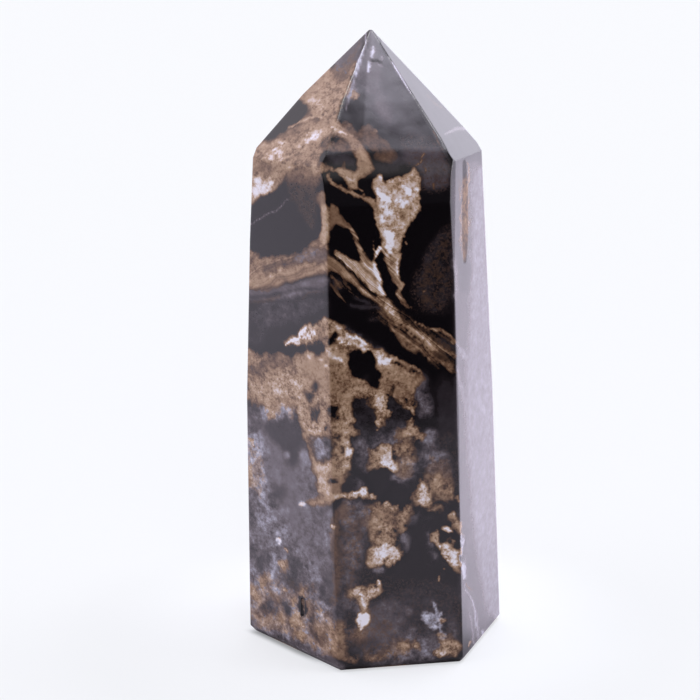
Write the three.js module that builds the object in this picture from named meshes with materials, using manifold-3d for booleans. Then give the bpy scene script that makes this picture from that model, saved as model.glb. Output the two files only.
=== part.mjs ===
// Opal obelisk: a ground and polished opal tower with six sides and a pointed top.
// Millimetres, +Z up. The stone rests on its foot at Z = 0, with the origin under its middle.
import * as THREE from 'three';
import { ConvexGeometry } from 'three/addons/geometries/ConvexGeometry.js';
import { mergeVertices } from 'three/addons/utils/BufferGeometryUtils.js';
import Module from 'manifold-3d';

// Driving dimensions. The point is ground to the sharp height, and the rounding of its very tip
// brings the stone down to the 90 mm that it stands.
const SHARP_HEIGHT = 90.25;
const EDGE_RADIUS = 0.35;
const FOOT_BEVEL_RISE = 1.0;
const FOOT_BEVEL_INSET = 0.8;

// Every side was ground by hand, so each has its own table. "turn" is the way the side faces, in
// degrees from +X towards +Y. Each row of "profile" is a height and how far out the side is there.
// The rows climb the side, pass the shoulder and end on the point, where the last row is added.
const SIDES = [
  { turn: -149.3, profile: [[1.0, 16.25], [36.6, 15.8], [72.4, 14.9], [81.1, 7.9]] },
  { turn: -90.0, profile: [[1.0, 17.4], [36.6, 16.0], [67.2, 14.6], [72.4, 13.8]] },
  { turn: -29.8, profile: [[1.0, 17.25], [36.6, 16.0], [72.2, 15.0], [75.6, 12.45]] },
  { turn: 29.4, profile: [[1.0, 16.9], [36.6, 14.9], [72.2, 13.8], [81.1, 7.2]] },
  { turn: 90.0, profile: [[1.0, 17.0], [36.6, 15.8], [72.2, 14.45], [81.1, 7.4]] },
  { turn: 149.6, profile: [[1.0, 17.25], [36.6, 16.9], [60.3, 15.75], [73.6, 14.75], [81.1, 8.8]] },
];

// A narrow flat takes the corner off between the front and the right front side.
const CORNER_FLAT = { turn: -40.0, profile: [[1.0, 18.62], [56.0, 16.6], [73.2, 15.57]] };

// The front of the point was ground in two flats that meet on a faint crease. The crease runs from
// the tip to a spot on the front shoulder, and the two flats reach the shoulder's two ends.
const TIP = [0.1, 0.0, SHARP_HEIGHT];
const SHOULDER_LEFT = [-9.15, -13.7, 72.4];
const SHOULDER_CREASE = [-3.6, -14.05, 72.4];
const SHOULDER_RIGHT = [8.6, -13.7, 72.4];

// A slot-shaped pit low on the left front side.
const PIT_FROM_SIDE_MIDDLE = 2.4;
const PIT_BOTTOM = 6.0;
const PIT_TOP = 9.1;
const PIT_RADIUS = 0.45;
const PIT_CENTRE_OUTSIDE = 0.05;

// How finely the rounded edges are divided, and the turn below which a crease isn't rounded
const EDGE_STEP = THREE.MathUtils.degToRad(18);
const SOFT_CREASE = THREE.MathUtils.degToRad(8);

const ON_PLANE = 1e-6;
const SAME_SPOT = 2e-3;
const SAME_CORNER = 0.12;

const wasm = await Module();
wasm.setup();

function outward(turn) {
  const angle = THREE.MathUtils.degToRad(turn);
  return new THREE.Vector3(Math.cos(angle), Math.sin(angle), 0);
}

// The plane that holds a level line at each of two rows of a profile.
function planeBetween(turn, lower, upper) {
  const out = outward(turn);
  const rise = upper[0] - lower[0];
  const normal = out.clone().multiplyScalar(rise);
  normal.z = lower[1] - upper[1];
  normal.normalize();
  const spot = out.clone().multiplyScalar(lower[1]);
  spot.z = lower[0];
  return { normal, distance: normal.dot(spot) };
}

function planesOfProfile({ turn, profile }) {
  const planes = [];
  for (let row = 1; row < profile.length; row += 1) {
    planes.push(planeBetween(turn, profile[row - 1], profile[row]));
  }
  return planes;
}

// The last plane of a side runs from its last row to the tip.
function planeToTip({ turn, profile }) {
  const tipOut = outward(turn).dot(new THREE.Vector3(TIP[0], TIP[1], 0));
  return planeBetween(turn, profile[profile.length - 1], [TIP[2], tipOut]);
}

// The bevel under a side, from the flat foot up to the side's first row.
function planeOfFootBevel({ turn, profile }) {
  const [, footOut] = profile[0];
  return planeBetween(turn, [0, footOut - FOOT_BEVEL_INSET], [FOOT_BEVEL_RISE, footOut]);
}

function planeThrough(first, second, third) {
  const plane = new THREE.Plane().setFromCoplanarPoints(
    new THREE.Vector3(...first),
    new THREE.Vector3(...second),
    new THREE.Vector3(...third),
  );
  const turnsInward = plane.constant > 0;
  const normal = turnsInward ? plane.normal.clone().negate() : plane.normal.clone();
  return { normal, distance: Math.abs(plane.constant) };
}

function groundPlanes() {
  const planes = [{ normal: new THREE.Vector3(0, 0, -1), distance: 0 }];
  for (const side of SIDES) {
    planes.push(...planesOfProfile(side), planeOfFootBevel(side));
  }
  const front = SIDES[1];
  for (const side of SIDES) {
    if (side !== front) {
      planes.push(planeToTip(side));
    }
  }
  planes.push(planeThrough(TIP, SHOULDER_LEFT, SHOULDER_CREASE));
  planes.push(planeThrough(TIP, SHOULDER_CREASE, SHOULDER_RIGHT));
  planes.push(...planesOfProfile(CORNER_FLAT), planeOfFootBevel(CORNER_FLAT));
  return planes;
}

function crossing(a, b, c) {
  const bc = new THREE.Vector3().crossVectors(b.normal, c.normal);
  const ca = new THREE.Vector3().crossVectors(c.normal, a.normal);
  const ab = new THREE.Vector3().crossVectors(a.normal, b.normal);
  const volume = a.normal.dot(bc);
  if (Math.abs(volume) < ON_PLANE) {
    return null;
  }
  return bc.multiplyScalar(a.distance)
    .add(ca.multiplyScalar(b.distance))
    .add(ab.multiplyScalar(c.distance))
    .divideScalar(volume);
}

// The corners of the solid that lies behind all the planes.
function cornersBehind(planes) {
  const corners = [];
  for (let i = 0; i < planes.length; i += 1) {
    for (let j = i + 1; j < planes.length; j += 1) {
      for (let k = j + 1; k < planes.length; k += 1) {
        const spot = crossing(planes[i], planes[j], planes[k]);
        const inside = spot !== null && planes.every(
          (plane) => plane.normal.dot(spot) - plane.distance < ON_PLANE,
        );
        const known = inside && corners.some((corner) => corner.distanceTo(spot) < SAME_CORNER);
        if (inside && !known) {
          corners.push(spot);
        }
      }
    }
  }
  return corners;
}

// The spot at a corner where a group of nearly level faces would meet without any rounding.
function sharpReach(group) {
  const reach = new THREE.Vector3();
  group.forEach((normal) => reach.add(normal));
  return reach.divideScalar(reach.dot(group[0]));
}

// Faces that turn less than the soft crease stay together, so their crease stays crisp.
function gatherNormals(normals) {
  const groups = [];
  for (const normal of normals) {
    const near = groups.find((group) => group[0].angleTo(normal) < SOFT_CREASE);
    if (near) {
      near.push(normal);
    } else {
      groups.push([normal]);
    }
  }
  return groups;
}

// Points of a small ball that stand in the directions between the faces of one corner.
function ballPointsAt(corner, planes) {
  const normals = planes
    .filter((plane) => Math.abs(plane.normal.dot(corner) - plane.distance) < SAME_CORNER)
    .map((plane) => plane.normal);
  const groups = gatherNormals(normals);
  const reaches = groups.map(sharpReach);
  const middle = new THREE.Vector3();
  groups.forEach((group) => middle.add(group[0]));
  if (groups.length > 2) {
    reaches.push(middle.normalize());
  }
  for (let i = 0; i < groups.length; i += 1) {
    for (let j = i + 1; j < groups.length; j += 1) {
      const steps = Math.round(groups[i][0].angleTo(groups[j][0]) / EDGE_STEP);
      for (let step = 1; step < steps; step += 1) {
        reaches.push(reaches[i].clone().lerp(reaches[j], step / steps).normalize());
      }
    }
  }
  return reaches.map((reach) => corner.clone().addScaledVector(reach, EDGE_RADIUS));
}

// The ground stone: its planes are drawn in by the edge radius and a ball is rolled around them.
function roundedStone() {
  const inner = groundPlanes().map(
    ({ normal, distance }) => ({ normal, distance: distance - EDGE_RADIUS }),
  );
  const points = cornersBehind(inner).flatMap((corner) => ballPointsAt(corner, inner));
  return new ConvexGeometry(points);
}

// A short upright slot with round ends, set into the left front side.
function pitCutter() {
  const side = SIDES[0];
  const out = outward(side.turn);
  const along = new THREE.Vector3(-out.y, out.x, 0);
  const [lower, upper] = side.profile;
  const points = [];
  for (const height of [PIT_BOTTOM + PIT_RADIUS, PIT_TOP - PIT_RADIUS]) {
    const share = (height - lower[0]) / (upper[0] - lower[0]);
    const reach = THREE.MathUtils.lerp(lower[1], upper[1], share) + PIT_CENTRE_OUTSIDE;
    const centre = out.clone().multiplyScalar(reach).addScaledVector(along, PIT_FROM_SIDE_MIDDLE);
    centre.z = height;
    const ball = new THREE.IcosahedronGeometry(PIT_RADIUS, 1).getAttribute('position');
    for (let index = 0; index < ball.count; index += 1) {
      points.push(new THREE.Vector3().fromBufferAttribute(ball, index).add(centre));
    }
  }
  return new ConvexGeometry(points);
}

function toManifold(geometry) {
  const bare = geometry.clone();
  bare.deleteAttribute('normal');
  bare.deleteAttribute('uv');
  const merged = mergeVertices(bare, SAME_SPOT);
  const mesh = new wasm.Mesh({
    numProp: 3,
    vertProperties: Float32Array.from(merged.getAttribute('position').array),
    triVerts: Uint32Array.from(merged.getIndex().array),
  });
  return new wasm.Manifold(mesh);
}

function toGeometry(solid) {
  const mesh = solid.getMesh();
  const geometry = new THREE.BufferGeometry();
  geometry.setAttribute('position', new THREE.BufferAttribute(mesh.vertProperties, mesh.numProp));
  geometry.setIndex(new THREE.BufferAttribute(mesh.triVerts, 1));
  return geometry;
}

// The origin goes under the middle of the stone's outline.
function centreOverOrigin(geometry) {
  geometry.computeBoundingBox();
  const middle = geometry.boundingBox.getCenter(new THREE.Vector3());
  geometry.translate(-middle.x, -middle.y, -geometry.boundingBox.min.z);
  return geometry;
}

const stone = toManifold(roundedStone()).subtract(toManifold(pitCutter()));
const shape = centreOverOrigin(toGeometry(stone)).toNonIndexed();
shape.computeVertexNormals();

const opal = new THREE.MeshStandardMaterial({ color: 0x4b4147, roughness: 0.15, metalness: 0 });
const obelisk = new THREE.Mesh(shape, opal);
obelisk.name = 'obelisk';

const part = new THREE.Group();
part.name = 'opal_obelisk';
part.add(obelisk);

export default part;
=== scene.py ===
"""A polished opal obelisk on a pale floor. Metres, +Z up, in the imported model's frame."""
import math

import bmesh
import bpy
import numpy as np
from mathutils import Matrix, Vector, noise
from mathutils.geometry import delaunay_2d_cdt


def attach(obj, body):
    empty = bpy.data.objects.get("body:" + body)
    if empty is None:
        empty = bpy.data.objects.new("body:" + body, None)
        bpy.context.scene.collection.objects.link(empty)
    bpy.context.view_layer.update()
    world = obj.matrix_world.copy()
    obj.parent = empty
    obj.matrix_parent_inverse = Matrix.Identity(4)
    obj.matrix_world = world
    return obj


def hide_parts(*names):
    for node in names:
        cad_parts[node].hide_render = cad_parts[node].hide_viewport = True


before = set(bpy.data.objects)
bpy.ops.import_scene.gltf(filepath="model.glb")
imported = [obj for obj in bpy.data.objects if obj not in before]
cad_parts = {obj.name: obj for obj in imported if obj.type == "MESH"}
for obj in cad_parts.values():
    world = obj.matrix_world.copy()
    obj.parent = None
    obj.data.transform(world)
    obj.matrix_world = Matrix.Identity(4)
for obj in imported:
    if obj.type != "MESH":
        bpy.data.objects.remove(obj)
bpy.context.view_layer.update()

MM = 0.001

# The markings, drawn as outlines in pixels of the picture. Each has its reach, in
# millimetres: how far inside its edge it is still taken to lie. A short reach, or one below
# nought, leaves the marking to the grain, which then breaks it up or shows only flecks of it.
CHARCOAL = {
    "dark band by the left edge": (-0.1, "245,300 328,292 328,318 285,340 245,350"),
}

MAUVE = {
    "under the band": (0.35, "240,300 262,296 290,290 310,288 328,290 328,275 315,276 300,280 278,288 "
        "240,294"),
    "in the band": (0.1, "258,262 300,254 312,248 328,246 328,260 312,264 270,271 258,272"),
    "top of the point": (0.5, "370,26 366,42 350,80 345,84 333,80 322,78 340,55"),
    "flecks by the left edge": (-0.1, "245,312 262,312 264,342 246,344"),
}

LILAC = {
    "under the left mass": (0.25, "276,398 288,400 296,408 293,416 290,421 286,418 283,410 276,410"),
    "fringe of the left mass": (0, "256,360 290,358 296,372 276,384 262,398 252,400 250,378"),
    "speckle on the point": (0.25, "310,106 316,104 319,112 319,120 313,120 309,114"),
    "spot by the edge": (0.3, "307,163 309,160 313,158 316,164 311,166"),
    "right end of the band": (0.05, "300,248 328,250 328,262 312,262 296,262"),
}

BROWN = {
    "left of the tan rim": (0.5, "250,207 256,203 267,194 279,186 284,182 280,178 240,206"),
    "band on the left front": (0.35, "240,250 252,250 258,256 311,241 318,236 329,236 330,248 330,275 "
        "318,276 304,279 292,282 282,286 272,290 258,291 240,294"),
    "main mass": (0.6, "240,351 252,349 260,353 268,352 275,357 280,351 290,357 297,353 306,351 "
        "314,354 322,353 324,346 320,342 305,346 292,347 284,345 286,339 294,333 299,326 305,325 "
        "312,327 322,318 328,315 333,320 342,326 350,334 366,340 380,349 386,355 398,359 412,366 "
        "421,372 428,380 424,386 411,402 412,410 406,410 404,402 394,396 388,398 385,424 380,430 "
        "375,423 371,411 362,403 352,402 352,412 358,425 361,434 352,436 353,455 351,468 344,474 "
        "343,486 337,492 333,506 327,506 320,486 312,456 304,440 299,420 294,412 290,422 284,407 "
        "276,413 268,421 263,400 240,404"),
}

TAN = {
    "arch": (0.7, "240,212 250,206 255,202 260,196 266,191 283,179 293,170 306,167 312,165 320,152 "
        "321,145 325,140 330,138 336,137 343,138 349,141 357,154 359,161 357,168 358,174 370,171 "
        "372,162 370,157 366,150 361,143 355,137 350,131 341,124 337,121 336,117 338,112 341,107 "
        "343,101 347,90 349,84 345,83 341,82 336,82 332,80 333,75 331,69 326,68 240,146"),
    "light band": (0.6, "240,282 262,278 280,271 313,264 328,258 331,270 322,272 312,274 302,277 "
        "292,279 283,282 275,286 258,288 240,292"),
    "left end of the band": (0.1, "240,252 254,251 258,258 262,266 262,276 240,281"),
    "left mass": (0.6, "240,353 252,351 260,355 269,354 275,360 280,353 290,359 297,355 302,356 "
        "309,351 315,358 322,355 326,349 328,347 330,356 331,372 332,408 329,414 330,425 338,427 "
        "348,403 353,418 357,427 358,433 350,430 326,452 332,474 329,482 332,490 334,500 330,504 "
        "325,498 320,484 311,453 305,440 300,424 298,416 294,410 290,420 285,408 282,404 275,412 "
        "268,420 265,405 262,398 240,402"),
    "crest at the left": (0.5, "284,343 288,339 295,334 299,331 300,328 303,326 308,328 311,329 "
        "314,326 318,322 322,320 325,317 328,316 331,320 330,328 319,338 317,342 311,343 305,345 "
        "300,344 297,347 292,346 288,344"),
}

CREAM = {
    "left of the arch": (0.6, "276,139 281,139 286,141 285,144 279,145"),
    "white patch": (0.7, "302,142 306,136 311,132 316,129 320,130 318,136 310,144 306,146"),
    "white spot": (0.5, "299,145 302,143 305,145 303,149 300,149"),
    "pair of spots": (0.5, "271,150 274,147 279,149 278,153 273,154"),
    "hook": (0.5, "277,153 281,151 284,155 285,160 280,161 277,157"),
    "dash": (0.5, "264,158 270,155 276,158 272,162 266,161"),
    "white by the left edge": (0.6, "250,184 256,178 262,180 268,177 275,180 272,187 266,191 260,195 "
        "254,200 250,196"),
    "specks by the left edge": (0.3, "256,170 263,171 258,174"),
    "top of the left mass": (0.35, "306,355 308,352 311,355 312,360 309,360"),
    "specks on the left mass": (0.2, "319,359 323,358 324,361 320,362"),
    "speck on the left mass": (0.2, "324,366 327,365 328,369 325,369"),
    "band speck": (0.2, "279,269 282,269 282,272 279,271"),
    "band dot": (0.2, "270,273 273,272 273,275 270,276"),
    "point patch": (0, "309,98 320,100 322,112 314,118 309,108"),
}

# Gaps in the warm colours, where the dark ground shows
HOLES = {
    "wedge on the left of the point": (0.6, "240,160 258,146 262,140 268,143 270,139 279,138 284,133 "
        "290,129 297,126 301,121 306,116 309,110 308,107 303,103 299,99"),
    "dark field on the left front": (0.7, "240,218 252,207 258,201 264,197 270,194 281,187 285,185 "
        "322,229 319,237 314,240 311,241 309,245 304,247 301,250 299,254 293,252 289,255 285,254 "
        "280,255 275,256 268,255 265,254 262,256 258,256 256,251 240,247"),
    "bite in the crest": (0.5, "319,336 325,334 326,341 323,348 319,350 314,346 318,343"),
    "spot by the edge": (0.3, "313,384 316,381 319,385 317,390 314,389"),
    "spots on the left mass": (0.3, "305,389 310,392 314,396 312,399 307,396"),
    "spots at the left": (0.25, "252,382 258,380 262,384 260,391"),
    "more spots at the left": (0.25, "247,392 254,392 257,398 250,402"),
    "long spot": (0.3, "316,405 320,407 317,412 315,419 312,422 310,418 312,411"),
    "small spot at the edge": (0.25, "325,426 329,425 328,429 325,430"),
}

# Where fine brown specks lie over the grey ground
SPECKLE = {
    "right of the front": (0.5, "453,222 446,226 440,233 434,241 428,250 423,259 418,268 414,276 "
        "413,285 412,295 414,300 416,313 453,313"),
    "shoulder": (0.3, "400,130 440,140 452,170 452,192 420,192 405,160"),
    "below the fan": (0, "370,296 384,302 396,316 400,330 384,322 370,322"),
    "foot of the front": (0.2, "384,580 460,580 462,650 350,655 340,600 340,520 366,510 370,560"),
    "right field": (0, "432,440 457,430 458,500 440,500"),
}

# Where the grain swings the tones far and the outlines fray: how strongly, outline
MOTTLE = {
    "crest": (0.7, "284,346 300,324 330,314 372,338 402,364 384,374 340,352 300,352"),
    "point": (0.4, "322,78 350,60 366,80 372,130 340,130 300,112"),
    "left mass": (0.6, "240,350 300,352 300,384 340,398 352,402 360,436 352,470 332,480 312,460 "
        "300,424 240,424"),
    "mass on the front": (0.45, "330,352 380,366 420,370 424,384 416,398 384,390 352,404 330,404"),
    "left foot": (0.7, "240,424 262,424 272,500 300,540 334,590 342,668 240,640"),
    "right of the left front": (0.35, "300,440 334,500 334,600 300,560"),
    "middle": (0.7, "352,386 380,388 412,396 432,380 436,440 457,460 460,540 430,536 412,518 404,560 "
        "370,612 345,612 345,590 366,566 366,520 345,512 345,470"),
    "foot": (0.7, "342,668 350,655 400,640 432,600 462,630 462,662"),
    "left of the front foot": (0.5, "338,510 366,510 368,560 352,580 372,640 338,660"),
    "dark of the front foot": (0.35, "380,580 460,585 460,640 380,640"),
    "band": (0.35, "240,250 300,250 328,240 328,262 290,268 262,276 240,278"),
    "arch": (0.35, "240,150 320,120 350,140 320,200 290,192 240,210"),
    "on the front's top": (0.15, "330,125 380,125 400,160 376,215 330,200"),
    "arrowhead": (0.45, "372,180 420,165 422,210 400,240 380,240"),
    "stem": (0.25, "380,236 402,236 406,290 384,262"),
    "strands": (0.35, "372,296 400,305 425,322 456,338 458,380 436,372 410,352 388,330"),
    "vein": (0.7, "460,164 469,163 470,180 470,215 469,240 467,258 465,266 462,258 460,240 459,215 "
        "460,190 460,176"),
    "right knot": (0.7, "424,505 464,505 464,580 424,580"),
    "right of the front": (0.5, "453,222 446,226 434,241 423,259 414,276 412,295 416,313 453,313"),
    "left dark field": (0.5, "250,304 290,298 330,294 332,306 300,326 262,338 250,338"),
}

# Strands, as lines through points that each have half a width, all in pixels
LILAC_STRANDS = (
    "284,296,1 292,294,1 300,293,1",
)

# Soft patches of the grey scale, laid over one another in this order: each has its tone, half
# the width of its edge in pixels, and its outline
HAZE = {
    "left flat of the point": (0.24, 7, "369,34 338,120 372,118 372,60"),
    "right flat of the point": (0.2, 8, "369,34 370,110 384,140 438,150 384,52"),
    "dark foot of the point": (0.03, 10, "442,140 330,168 330,140"),
    "dark by the left ridge": (0.06, 5, "358,82 372,96 352,124 340,124"),
    "cloud on the point": (0.42, 7, "376,84 396,112 392,124 380,118 370,104"),
    "lilac by the left ridge": (0.5, 3, "354,66 360,56 364,62 360,78 354,82"),
    "lilac patch": (0.62, 3, "344,88 352,83 358,88 356,96 350,102 345,98"),
    "grey streak under the band": (0.5, 3, "240,292 290,284 328,277 328,283 240,297"),
    "second streak under the band": (0.36, 3, "240,300 280,294 328,288 328,292 250,305"),
    "left field under the band": (0.16, 8, "244,310 300,304 244,350"),
}

# Places where flecks of the warm scale show through, in the same form
FLECKS = {
    "top of the point": (0.22, 6, "370,28 330,76 345,84"),
    "edge of the arch": (0.4, 6, "318,76 332,64 348,72 350,92 338,90"),
    "under the band": (0.15, 5, "240,296 328,284 328,300 240,312"),
    "field on the left front": (0.07, 6, "325,300 325,330 250,345"),
}

# Soft patches of the warm scale that lie over the tan
PALE = {
    "cloud under the arch": (0.64, 6, "276,146 330,120 326,134 268,176"),
    "cloud at the left": (0.72, 5, "246,182 272,174 274,186 250,202"),
    "right of the cloud": (0.52, 6, "286,164 318,158 318,186 300,192"),
    "band": (0.66, 4, "244,282 328,259 330,264 244,288"),
    "top of the band": (0.52, 3, "244,250 290,252 318,238 328,238 328,250 290,260 244,264"),
    "middle of the mass": (0.64, 7, "290,360 326,358 328,404 284,384"),
    "left of the mass": (0.6, 7, "246,358 284,358 246,386"),
}

# Where the warm colours lie in fine streaks that follow the bands: how strongly, outline
LAYERED = {
    "band": (1.2, "236,246 330,236 330,304 236,312"),
    "strands": (2.2, "328,236 350,225 375,225 395,262 400,290 430,325 464,335 464,388 440,378 400,345 "
        "370,310 328,304"),
}

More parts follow.
